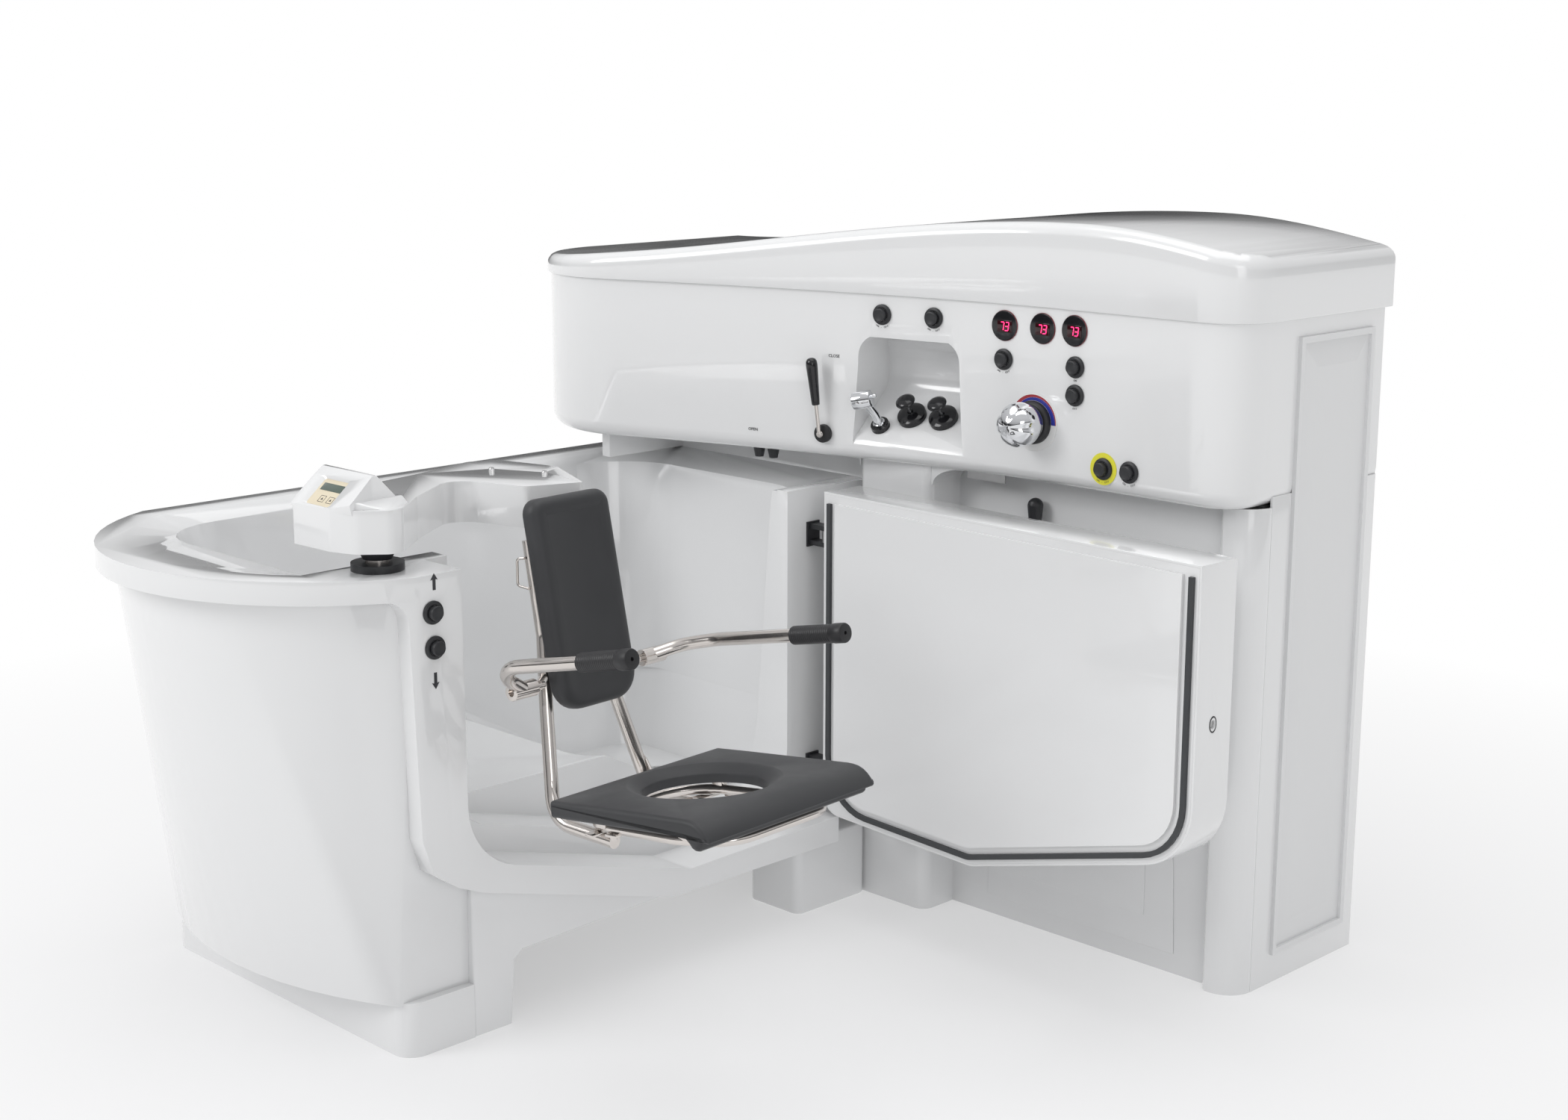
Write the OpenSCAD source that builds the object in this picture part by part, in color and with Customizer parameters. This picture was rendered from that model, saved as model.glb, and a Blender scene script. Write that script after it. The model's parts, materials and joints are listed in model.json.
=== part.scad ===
// Walk-in bathtub for a care home: console, round-nosed tub with a side door, and a lift with a
// transfer chair. Millimetres, +Z up, console at the back (+Y), tub nose toward -Y.

/* [Console] */
// Width of the console
console_w = 1816; // [1790:2:1850]
// Depth of the console at its right end
console_d = 498; // [485:1:515]
// Height of the upper body, from its underside to the cap
body_h = 345; // [330:1:360]
// Height of the cap at its left end
cap_side_h = 40; // [32:1:50]
// Rise of the cap from its left end to its crest
cap_rise = 122; // [100:1:140]
// Fall of the cap from the crest to its right end
cap_fall = 45; // [20:1:60]
// Overhang of the cap over the body
cap_over = 8; // [6:0.5:12]
// Forward bow of the front toward its left end
bow = 250; // [220:1:270]
// Radius of the left end in plan
end_r = 250; // [230:1:260]
// Radius of the right front corner in plan
corner_r = 100; // [80:1:120]
// Wall of the console mouldings
skin = 6; // [4:0.5:8]
// Room between the tub rim and the underside of the upper body
belly_gap = 61; // [50:1:70]
// Width of the column beside the tub
column_w = 203; // [190:1:215]
// Depth of the parking recess behind the open door
recess_d = 100; // [85:1:115]
// Width of the right corner post
post_w = 77; // [70:1:90]
// Width of the niche
niche_w = 256; // [230:1:280]
// Height of the body over the niche
niche_head = 88; // [82:1:96]
// Slope of the niche floor in degrees
niche_slope = 40; // [35:1:45]

/* [Controls] */
// Diameter of a button bezel
bezel_d = 42; // [38:0.5:46]
// Diameter of a button cap
cap_d = 24; // [20:0.5:28]
// Diameter of a button stem
stem_d = 14; // [10:0.5:16]
// Travel of a push button
press = 4; // [3:0.5:5]
// Diameter of a temperature display
display_d = 59; // [50:1:64]
// Diameter of the mixing-valve dial
dial_d = 112; // [100:1:120]
// Diameter of the mixing-valve knob
knob_d = 88; // [76:1:94]
// Diameter of a spindle that turns in a boss
spindle_d = 12; // [10:0.5:14]
// Length of the valve lever from its spindle
lever_l = 154; // [130:1:170]

/* [Tub] */
// Width over the tub rim
tub_w = 863; // [850:1:880]
// Radius of the rim nose in plan
nose_r = 468; // [455:1:480]
// Length of the foot well along the tub
well_l = 570; // [550:1:600]
// Height of the rim
rim_h = 894; // [880:1:899]
// Height of the rim band
rim_band = 42; // [36:1:48]
// Setback of the apron under the rim
apron_in = 32; // [26:1:36]
// Wall of the basin
shell = 8; // [6:0.5:9]
// Wall of the apron
apron_t = 4; // [3:0.5:6]
// Height of the seat ramp
ramp_h = 400; // [390:1:410]
// Height of the foot well floor
well_h = 225; // [215:1:232]
// Height of the kick base
kick_h = 100; // [80:1:120]
// Diameter of the drain opening
drain_d = 52; // [44:1:60]

/* [Door] */
// Width of the door
door_w = 953; // [940:1:965]
// Thickness of the door
door_t = 101; // [90:1:104]
// Height of the door over the rim
door_rise = 9; // [6:1:12]
// Radius of the lower free corner of the door
door_r = 135; // [120:1:145]
// Wall of the door shell
door_wall = 5; // [4:0.5:7]
// Angle of the open door past square
door_yaw = 2.2; // [0:0.1:3]
// Running gap between the door and its frame
door_gap = 5; // [4:0.5:6]
// Width of the gasket
gasket_w = 10; // [8:0.5:12]
// Height of the gasket
gasket_h = 7; // [6:0.5:8]
// Diameter of the hinge pins
pin_d = 14; // [12:0.5:16]
// Diameter of the latch bolt
bolt_d = 16; // [12:0.5:18]

/* [Lift] */
// Diameter of the lift ram
ram_d = 44; // [40:1:48]
// Diameter of the disc round the ram
disc_d = 94; // [86:1:98]
// Height of the disc
disc_h = 14; // [12:1:16]
// Travel of the lift
lift_travel = 220; // [180:5:240]
// Room between the rim and the underside of the arm
arm_gap = 42; // [38:1:50]
// Height of the arm casing
arm_h = 76; // [70:1:84]
// Wall of the arm casing
casing_t = 4; // [3:0.5:5]

/* [Chair] */
// Width of the seat pad
seat_w = 424; // [412:1:432]
// Depth of the flat of the seat pad
seat_d = 332; // [320:1:345]
// Depth of the seat below the arm
seat_drop = 406; // [396:1:416]
// Tilt of the seat, front up
seat_tilt = 6.6; // [5:0.1:8]
// Thickness of the seat pad
pad_t = 38; // [32:1:42]
// Width of the back pad
back_w = 188; // [176:1:196]
// Height of the back pad
back_h = 380; // [366:1:392]
// Thickness of the back pad
back_t = 34; // [28:1:36]
// Diameter of the chair tube
tube_d = 25.4; // [24:0.1:26.5]
// Half spacing of the armrests
arm_half = 230; // [226:1:236]
// Diameter of an armrest grip
grip_d = 36; // [32:1:38]
// Length of an armrest grip
grip_l = 122; // [110:1:130]

/* [Hidden] */
$fn = 48;
soft_gap = 0.3;
run_gap = 0.04;
cap_step = 12;

// Heights follow from the rim upward, and from the arm down to the seat
belly_z = rim_h + belly_gap;
cap_z = belly_z + body_h;
cap_left_h = cap_z + cap_side_h;
crest_h = cap_left_h + cap_rise;
door_top = rim_h + door_rise;
arm_z = rim_h + arm_gap;
seat_z = arm_z - seat_drop;

// Console plan: the front is straight on the right and bows forward on the left.
bow_x = -450;
bow_l = 1100;
xl = -console_w;
function bow_t(x) = max(0, (bow_x - x) / bow_l);
function front(x) = -console_d - bow * pow(bow_t(x), 1.6);
function rise(x) = 1.6 * bow / bow_l * pow(bow_t(x), 0.6);
function nrm(x) = sqrt(1 + rise(x) * rise(x));
function nx(x) = rise(x) / nrm(x);
xt0 = xl + 1.34 * end_r;
xt1 = xl + end_r * (1 + nx(xt0));
xt = xl + end_r * (1 + nx(xt1));
end_y = front(xt) + end_r / nrm(xt);
end_a = -atan2(1, rise(xt));
function arc(c, r, a0, a1, n) = [for (i = [0:n]) let (a = a0 + (a1 - a0) * i / n)
  [c[0] + r * cos(a), c[1] + r * sin(a)]];
front_n = 26;
function plan(d, yb) = concat([[xl + d, yb], [-d, yb]],
  arc([-corner_r, -console_d + corner_r], corner_r - d, 0, -90, 6),
  [for (i = [1:front_n]) let (x = -corner_r + (xt + corner_r) * i / front_n)
    [x - d * nx(x), front(x) + d / nrm(x)]],
  arc([xl + end_r, end_y], end_r - d, end_a - 6, -180, 10));

// Cap wave along the width
crest_x = -380;
function wave(x) = x < crest_x
  ? cap_left_h + (crest_h - cap_left_h) / 2 * (1 - cos(180 * (x - xl) / (crest_x - xl)))
  : crest_h - cap_fall * (1 - cos(90 * (x - crest_x) / -crest_x));

// Polygon helpers: mitred inset and rounded corners
function unit(v) = v / norm(v);
function left_n(a, b) = let (u = unit(b - a)) [-u[1], u[0]];
function inset(p, d) = let (n = len(p)) [for (i = [0:n - 1])
  let (a = left_n(p[(i + n - 1) % n], p[i]), b = left_n(p[i], p[(i + 1) % n]))
  p[i] + (a + b) * d / (1 + a * b)];
function turn(a, b) = let (d = b - a) d > 180 ? d - 360 : (d < -180 ? d + 360 : d);
function corner(p, q, s, r, n) = r <= 0 ? [q] :
  let (u = unit(p - q), v = unit(s - q), h = acos(max(-1, min(1, u * v))) / 2,
    c = q + unit(u + v) * r / sin(h), t = r / tan(h),
    a0 = atan2((q + u * t - c)[1], (q + u * t - c)[0]),
    a1 = atan2((q + v * t - c)[1], (q + v * t - c)[0]), w = turn(a0, a1))
  [for (i = [0:n]) c + r * [cos(a0 + w * i / n), sin(a0 + w * i / n)]];
function rounded(p, r, n = 6) = let (m = len(p)) [for (i = [0:m - 1])
  each corner(p[(i + m - 1) % m], p[i], p[(i + 1) % m], r[i], n)];
function box4(x0, y0, x1, y1) = [[x0, y0], [x1, y0], [x1, y1], [x0, y1]];
function rbox(x0, y0, x1, y1, r, n = 6) = rounded(box4(x0, y0, x1, y1), [r, r, r, r], n);

// Tub places follow the console and the door
body_in = cap_over;
back_y = -body_in;
tub_x = -862;
tub_y = -console_d + 64;
tub_far = tub_x - tub_w;
nose_x = tub_far + 425;
door_in = -41;
door_out = door_in + door_t;
hx = tub_x - door_out;
hy = -console_d - 104;
door_u = 28;
door_end = door_u + door_w;
jamb_y = hy - door_end - door_gap;
nose_y = jamb_y + 71;
plate_v = door_in - gasket_h - 0.5;
plate_t = 8;
frame_in = 45;
post_x = hx + door_in;
post_y = hy - door_end - 109;
sill_low = 160;
jamb_u = door_w + door_gap;

// Column and recess
col_x0 = tub_x - 85;
col_x1 = col_x0 + column_w;
wall_y = -console_d + recess_d;
post_x0 = -body_in - post_w;
post_y0 = wall_y - 29;
post_r = 57;

// Door outline in its own width and height, and the same outline inset
hinge_low = 221;
kink_u = 420;
kink_z = 211;
door_poly = [[0, door_top + 200], [0, hinge_low], [kink_u, kink_z], [door_w, 356],
  [door_w, door_top + 200]];
hinge_r = 45;
seal_r = 130;
function door_shape(d, r = seal_r) = rounded(inset(door_poly, d),
  [0, max(2, r - d), 60, max(8, door_r - d), 0], 8);

// Chair place
chair_yaw = 3.6;
chair_dx = 329;
chair_dy = 311;
chx = post_x + chair_dx;
chy = post_y + chair_dy;

// Lift and arm
sleeve_t = 8;
ram_left = 174;
sleeve_low = rim_h - lift_travel - ram_left;
cone_h = arm_gap - disc_h - 6;
spigot_d = 30;
arm_top = arm_z + arm_h;
hf = -262;
hl = 30;
hang_x = chair_dx + hf * cos(chair_yaw) - hl * sin(chair_yaw);
hang_y = chair_dy + hf * sin(chair_yaw) + hl * cos(chair_yaw);
hang_w = 30;
tongue = 14;
casing_poly = [[-124, -92], [-75, -90], [-14, -88], [39, -70], [78, -24], [72, 6], [5, 84],
  [-84, 213], [-45, 250], [61, 282], [99, 385], [-54, 452], [-90, 450], [-200, 420], [-220, 364],
  [-180, 222]];
casing_r = [12, 4, 30, 40, 20, 20, 30, 40, 40, 20, 8, 10, 10, 30, 30, 80];

// Controls: x, z of each push button on the console front
btn = [[-838, cap_z - 40], [-718, cap_z - 39], [-553, cap_z - 108], [-381, cap_z - 108],
  [-380, cap_z - 162], [-308, belly_z + 50], [-247, belly_z + 51]];
disp = [[-552, cap_z - 42], [-462, cap_z - 41], [-385, cap_z - 39]];
mix_x = -478;
mix_z = belly_z + 121;
lev_x = -972;
lev_z = belly_z + 51;
barrel_d = 20;
barrel_l = 20;
flange_h = 6;
niche_x = -783;
niche_z = belly_z + 39;
niche_h = cap_z - niche_head - niche_z;
niche_d = 128;
niche_t = 4;
nozzle = [[-1179, -552], [-1144, -544]];

// Moves the whole model so that its origin is the middle of its footprint
xmin = xl;
xmax = hx + door_end * cos(door_yaw) + door_out * sin(door_yaw);
ymin = nose_y - nose_r;
module at_origin() {
  translate([-(xmin + xmax) / 2, -ymin / 2, 0]) children();
}

// A control at x, z on the console front: local -Y points out of the front
module on_front(x, z) {
  translate([x, front(x) + body_in, z]) rotate([0, 0, atan(rise(x))]) children();
}
// How far the curved front stands out of its tangent plane within r of x
function proud(x, r) = max([for (q = [-r, r]) (q * rise(x) - front(x + q) + front(x)) / nrm(x)]);
// A disc or rod whose axis is local -Y, from depth a (inside) to b (outside)
module plug(d, a, b, n = 48) {
  translate([0, a, 0]) rotate([90, 0, 0]) cylinder(d = d, h = a + b, $fn = n);
}
// The same on the near side of the tub, where out is +X
module on_pillar(y, z) {
  translate([tub_x, y, z]) rotate([0, 0, 90]) children();
}
module rod(p, q, d) {
  v = q - p;
  l = norm(v);
  translate(p) rotate([0, acos(v[2] / l), atan2(v[1], v[0])]) cylinder(d = d, h = l, $fn = 32);
}
// Bent tube: straight lengths with a ball a little fatter than the tube at each bend
bend_up = 0.5;
module pipe(pts, d, closed = false) {
  for (i = [0:len(pts) - 2]) {
    rod(pts[i], pts[i + 1], d);
  }
  for (i = [(closed ? 0 : 1):len(pts) - 2]) {
    translate(pts[i]) sphere(d = d + bend_up, $fn = 32);
  }
}
module slab(p, z0, z1) {
  translate([0, 0, z0]) linear_extrude(z1 - z0) polygon(p);
}
// Width-height outline extruded across the door thickness from v0 to v1
module upright(p, v0, v1) {
  translate([0, v1, 0]) rotate([90, 0, 0]) linear_extrude(v1 - v0) polygon(p);
}
module open_door() {
  translate([hx, hy, 0]) rotate([0, 0, -door_yaw]) children();
}
module shut_door() {
  translate([hx, hy, 0]) rotate([0, 0, -90]) children();
}
module wave_solid(drop) {
  n = 24;
  p = concat([for (i = [0:n]) let (x = xl + (crest_x - xl) * i / n) [x, wave(x) - drop]],
    [for (i = [1:8]) let (x = crest_x * (1 - i / 8)) [x, wave(x) - drop]],
    [[0, cap_z - 50], [xl, cap_z - 50]]);
  translate([0, 10, 0]) rotate([90, 0, 0]) linear_extrude(900) polygon(p);
}

module console_cap() color("white") at_origin() {
  difference() {
    intersection() {
      slab(plan(0, 0), cap_z, crest_h + 10);
      wave_solid(0);
    }
    slab(plan(cap_over - soft_gap, soft_gap - cap_over), cap_z - 1, cap_z + cap_step);
    intersection() {
      slab(plan(cap_over + skin, -cap_over - skin), cap_z + cap_step - 1, crest_h + 10);
      wave_solid(skin);
    }
  }
}

module console_casing() color("white") at_origin() {
  t = skin;
  bi = body_in;
  difference() {
    union() {
      // Upper body with an open back
      difference() {
        slab(plan(bi, back_y), belly_z, cap_z + cap_step);
        slab(plan(bi + t, 5), belly_z + t, cap_z + cap_step + 1);
        translate([xl + bi + t, back_y - t, belly_z - 1]) cube([console_w - 2 * bi - 2 * t, t + 5, t + 2]);
      }
      // Column
      difference() {
        slab(rounded(box4(col_x0, -console_d + 6, col_x1, wall_y + t), [30, 30, 0, 0]), 0, belly_z + t);
        slab(rounded(box4(col_x0 + t, -console_d + 6 + t, col_x1 - t, wall_y), [24, 24, 0, 0]),
          -1, belly_z);
      }
      // Lower front behind the tub, lower left side and right side
      translate([xl + bi, tub_y, 0]) cube([col_x0 + 20 - xl - bi, t, belly_z + 1]);
      translate([xl + bi, tub_y, 0]) cube([t, back_y - tub_y, belly_z + 1]);
      translate([-bi - t, post_y0 + post_r, 0]) cube([t, back_y - post_y0 - post_r, belly_z + 1]);
      // Stay between the tub rim and the overhang
      translate([tub_far + 147, -console_d - 157, rim_h]) cube([26, 93 + 128, belly_z + 1 - rim_h]);
    }
    // Niche, button, display and valve holes
    on_front(niche_x, niche_z) niche_block(0);
    for (b = btn) {
      on_front(b[0], b[1]) plug(barrel_d + 0.4, 30, 30);
    }
    for (b = disp) {
      on_front(b[0], b[1]) plug(40.4, 30, 30);
    }
    on_front(mix_x, mix_z) plug(50.4, 30, 30);
    on_front(lev_x, lev_z) plug(26.4, 30, 30);
    // Filler nozzle holes
    for (q = nozzle) {
      translate([q[0], q[1], belly_z - 1]) cylinder(d = 16.4, h = skin + 2);
    }
  }
}

// Side profile of the niche, depth and height, grown outward by g
function niche_side(g) = let (s = tan(niche_slope)) [[30, -g], [0, -g],
  [-niche_d * 0.86, niche_d * 0.86 * s - g],
  [-niche_d - g, niche_d * s - 4], [-niche_d - g, niche_h - 62], [-niche_d * 0.9 - g, niche_h - 28],
  [-niche_d * 0.7 - g, niche_h - 8], [-niche_d * 0.4, niche_h + g], [0, niche_h + g], [30, niche_h + g]];
module niche_block(g) {
  mirror([0, 1, 0]) translate([-niche_w / 2 - g, 0, 0]) rotate([90, 0, 90])
    linear_extrude(niche_w + 2 * g) polygon([for (q = niche_side(g)) [q[0], q[1]]]);
}
module niche_insert() color("whitesmoke") at_origin() {
  g = niche_t;
  on_front(niche_x, niche_z) difference() {
    intersection() {
      niche_block(0);
      translate([-niche_w, 0, -50]) cube([2 * niche_w, niche_d + 40, niche_h + 100]);
    }
    intersection() {
      niche_block(-g);
      translate([-niche_w, -30, -50]) cube([2 * niche_w, niche_d + 70, niche_h + 100]);
    }
    for (q = niche_pos) {
      translate([0, 0, niche_t]) on_slope(q[0], q[1]) cylinder(d = barrel_d + 0.4, h = 60, center = true);
    }
  }
}
// Places on the niche floor: across, along the slope
niche_pos = [[-77, 41], [-17, 76], [57, 78]];
module on_slope(dx, s) {
  translate([dx, s * cos(niche_slope), s * sin(niche_slope)]) rotate([niche_slope, 0, 0]) children();
}
module in_niche() {
  on_front(niche_x, niche_z) translate([0, 0, niche_t]) children();
}

// Corner post section: an open channel with a rounded front corner
function post_path(g) = concat([[post_x0 + g, wall_y + skin], [post_x0 + g, post_y0 + 8 + g / 2],
  [post_x0 + 8 + g / 2, post_y0 + g]],
  arc([-body_in - post_r, post_y0 + post_r], post_r - g, -90, 0, 8));
function reverse(p) = [for (i = [len(p) - 1:-1:0]) p[i]];
module corner_post() color("white") at_origin() {
  slab(concat(post_path(0), reverse(post_path(skin))), 0, belly_z);
}

module side_panel() color("white") at_origin() {
  y0 = post_y0 + post_r + 61;
  y1 = -57;
  z0 = 61;
  z1 = cap_z - 34;
  w = 12;
  translate([-body_in, 0, 0]) {
    difference() {
      translate([0, y0, z0]) cube([body_in, y1 - y0, z1 - z0]);
      translate([-1, y0 + w, z0 + w]) cube([body_in + 2, y1 - y0 - 2 * w, z1 - z0 - 2 * w]);
    }
    hull() {
      translate([0, y0 + w - 1, z0 + w - 1]) cube([1, y1 - y0 - 2 * w + 2, z1 - z0 - 2 * w + 2]);
      translate([0, y0 + 5 * w, z0 + 5 * w]) cube([body_in - 2, y1 - y0 - 10 * w, z1 - z0 - 10 * w]);
    }
  }
}

module recess_wall() color("gainsboro") at_origin() {
  difference() {
    translate([col_x1, wall_y, 0]) cube([post_x0 - col_x1, skin, belly_z]);
    translate([drain_x, wall_y, drain_z]) plug(drain_boss, 30, 30);
  }
}
drain_x = -525;
drain_z = belly_z - 199;
drain_boss = 26;

module access_panel() color("white") at_origin() {
  x0 = col_x1 + 100;
  x1 = post_x0 - 162;
  p = [[x0, 41], [post_x0 - 84, 41], [post_x0 - 92, 222], [x1, belly_z - 99], [x0, belly_z - 99]];
  difference() {
    translate([0, wall_y, 0]) rotate([90, 0, 0]) linear_extrude(3) polygon(p);
    translate([drain_x, wall_y, drain_z]) plug(40, 30, 60);
  }
}

module rear_panels() color("lightgray") at_origin() {
  x0 = xl + body_in + skin;
  x1 = -body_in - skin;
  difference() {
    translate([x0, back_y - skin, 0]) cube([x1 - x0, skin, cap_z + cap_step]);
    // Water inlets and the waste outlet
    for (x = inlet_x) {
      translate([x, back_y + 5, inlet_z]) plug(inlet_d + 0.4, 10, 30);
    }
    translate([waste_x, back_y + 5, waste_z]) plug(waste_d + 0.4, 10, 30);
  }
}
inlet_x = [-760, -680];
inlet_z = 300;
inlet_d = 27;
inlet_bore = 19;
waste_x = -1325;
waste_z = 90;
waste_d = 50;
waste_bore = 41;
stub_l = 30;

// Uprights with levelling feet, rails, the recess bracket and the pipe stubs
module inner_frame() color("silver") at_origin() {
  s = 40;
  foot = 18;
  ux = [xl + body_in + skin + 12, -1240, -640, -body_in - skin - 12 - s];
  yb = back_y - skin - s - 6;
  yf = wall_y + skin + 16;
  top = belly_z - s;
  for (x = ux) {
    for (y = [yb, yf]) {
      translate([x, y, foot]) cube([s, s, top - foot]);
      translate([x + s / 2, y + s / 2, 0]) cylinder(d = 34, h = 8);
      translate([x + s / 2, y + s / 2, 7]) cylinder(d = 12, h = foot);
    }
    translate([x, yf, top]) cube([s, yb + s - yf, s]);
  }
  for (y = [yb, yf]) {
    translate([ux[0], y, top]) cube([ux[3] + s - ux[0], s, s]);
    translate([ux[0], y, 120]) cube([ux[3] + s - ux[0], s, s]);
  }
  // Bracket seen under the body above the parked door
  difference() {
    translate([col_x1 + 64, wall_y - 52, belly_z - 3]) cube([98, 52, 3]);
    for (x = [20, 78]) {
      translate([col_x1 + 64 + x, wall_y - 26, belly_z - 4]) cylinder(d = 9, h = 6);
    }
  }
  translate([col_x1 + 64, wall_y - 52, belly_z - 20]) cube([98, 3, 20]);
  // Inlet and waste stubs on plates carried by the back rails
  yp = back_y - skin - 6;
  for (x = inlet_x) {
    difference() {
      union() {
        translate([x, back_y, inlet_z]) plug(inlet_d, 0, stub_l);
        translate([x - 14, yp - 6, 130]) cube([28, 6, inlet_z - 106]);
        translate([x - 14, yb + s - 1, 130]) cube([28, yp - yb - s + 1, 20]);
      }
      translate([x, back_y, inlet_z]) plug(inlet_bore, 1, stub_l + 10);
    }
  }
  difference() {
    union() {
      translate([waste_x, back_y, waste_z]) plug(waste_d, 0, stub_l);
      translate([waste_x - 30, yp - 6, 60]) cube([60, 6, 90]);
      translate([waste_x - 30, yb + s - 1, 130]) cube([60, yp - yb - s + 1, 20]);
    }
    translate([waste_x, back_y, waste_z]) plug(waste_bore, 1, stub_l + 10);
  }
}

module reservoir_tank() color("aliceblue") at_origin() {
  t = 5;
  x0 = xl + end_r + 66;
  x1 = col_x0 + 20;
  y0 = tub_y + 14;
  y1 = back_y - skin - 20;
  z0 = belly_z + skin;
  z1 = cap_z - 39;
  difference() {
    slab(rbox(x0, y0, x1, y1, 30), z0, z1);
    slab(rbox(x0 + t, y0 + t, x1 - t, y1 - t, 25), z0 + t, z1 - t);
    translate([x0 + 120, (y0 + y1) / 2, z1 - 100]) cylinder(d = 80, h = 200);
  }
}

module drain_lever() color("black") at_origin() {
  translate([drain_x, wall_y, drain_z]) {
    plug(drain_boss - 2 * run_gap, skin + 2, 12);
    translate([0, -10, 0]) plug(34, 0, 16);
    rod([0, -24, 0], [0, -24, 104], 12);
    hull() {
      translate([0, -24, 100]) sphere(d = 24, $fn = 24);
      translate([0, -24, 139]) sphere(d = 32, $fn = 24);
    }
  }
}

// Tub rim outline, inset by d, with its near side at xr
function rim_plan(d, xr) = let (r = nose_r - d, x1 = tub_far + d,
  y1 = -sqrt(r * r - pow(x1 - nose_x, 2)), y2 = -sqrt(r * r - pow(xr - nose_x, 2)),
  a1 = atan2(y1, x1 - nose_x), a2 = atan2(y2, xr - nose_x))
  concat([[xr, tub_y], [x1, tub_y]], arc([nose_x, nose_y], r, a1, -90, 11),
  arc([nose_x, nose_y], r, -90 + (a2 + 90) / 11, a2, 10));
// Frame band round the door, in door width and height
band_poly = [[0, sill_low], [kink_u + 51, sill_low], [jamb_u - 27, 290], [jamb_u + 26, 313],
  [jamb_u + 57, 354], [jamb_u + 75, 414], [jamb_u + 85, rim_h - 135], [jamb_u + 85, rim_h], [0, rim_h]];
module door_frame_band(v0, v1) {
  shut_door() translate([door_u, 0, 0])
    upright(rounded(band_poly, [0, 30, 0, 0, 0, 60, 0, 0, 0], 4), v0, v1);
}
// Bowl outlines grown by g
module bowl_upper(g) {
  hull() {
    slab(rbox(tub_far + 75 - g, nose_y - 233 - g, tub_x - 158 + g, tub_y - 86 + g, 150 + g, 7),
      rim_h - 26, rim_h - 25.5);
    slab(rbox(tub_far + 125 - g, nose_y - 123 - g, tub_x - 198 + g, tub_y - 126 + g, 120 + g, 7),
      ramp_h - g, ramp_h - g + 0.5);
  }
}
module bowl_well(g) {
  hull() {
    slab(rbox(tub_far + 125 - g, tub_y - 126 - well_l - g, tub_x - 198 + g, tub_y - 126 + g, 90 + g, 6),
      ramp_h - 0.5, ramp_h);
    slab(rbox(tub_far + 165 - g, tub_y + 174 - well_l - g, tub_x - 228 + g, tub_y - 166 + g, 70 + g, 6),
      well_h - g, well_h - g + 0.5);
  }
}
module tub_basin() color("white") at_origin() {
  pv = plate_v;
  difference() {
    union() {
      slab(rim_plan(0, tub_x), rim_h - rim_band, rim_h);
      bowl_upper(shell);
      bowl_well(shell);
      door_frame_band(pv - plate_t, door_out);
      // Channel from the bowl to the door opening
      shut_door() translate([door_u, 0, 0])
        upright([for (q = door_shape(frame_in - shell)) [q[0], min(q[1], rim_h)]], -160, pv);
      // Hinge pillar
      translate([hx + pv - 30, hy - 97, sill_low]) cube([30, 165, rim_h + 3 - sill_low]);
      // Floor boss under the drain
      translate([waste_x, tub_y - 281, well_h - shell - 14]) cylinder(d = drain_d + 24, h = 16);
    }
    // Deck slope into the bowl
    hull() {
      slab(rim_plan(55, tub_x - 153), rim_h, rim_h + 1);
      slab(rbox(tub_far + 75, nose_y - 233, tub_x - 158, tub_y - 86, 150, 7), rim_h - 26, rim_h - 25.5);
    }
    bowl_upper(0);
    bowl_well(0);
    // Door opening and door pocket, open at the top
    shut_door() translate([door_u, 0, 0]) upright(door_shape(frame_in), -160 + shell, 100);
    shut_door() translate([door_u, 0, 0]) upright(door_shape(-door_gap, hinge_r), pv, door_out + 20);
    shut_door() translate([-180, pv, sill_low - 1]) cube([180 + door_u, 200, rim_h]);
    shut_door() translate([-180, pv, hinge_low - door_gap]) cube([180 + door_u + 60, 200, rim_h]);
    // Bore for the lift sleeve, strike hole, button barrels, drain
    translate([post_x, post_y, sleeve_low]) cylinder(d = ram_d + 2 * sleeve_t + 0.4, h = rim_h);
    shut_door() translate([door_end - 2, bolt_v, bolt_z]) rotate([0, 90, 0])
      cylinder(d = bolt_d + 2, h = 34);
    for (b = side_pos) {
      on_pillar(b[0], b[1]) plug(barrel_d + 0.4, barrel_l + press + 4.5, 30);
    }
    translate([waste_x, tub_y - 281, well_h - 60]) cylinder(d = drain_d, h = 100);
  }
}
bolt_v = 8;
bolt_z = door_top - 296;
bolt_out = 14;
side_pos = [[jamb_y - 64, rim_h - 67], [jamb_y - 62, rim_h - 130]];

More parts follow.
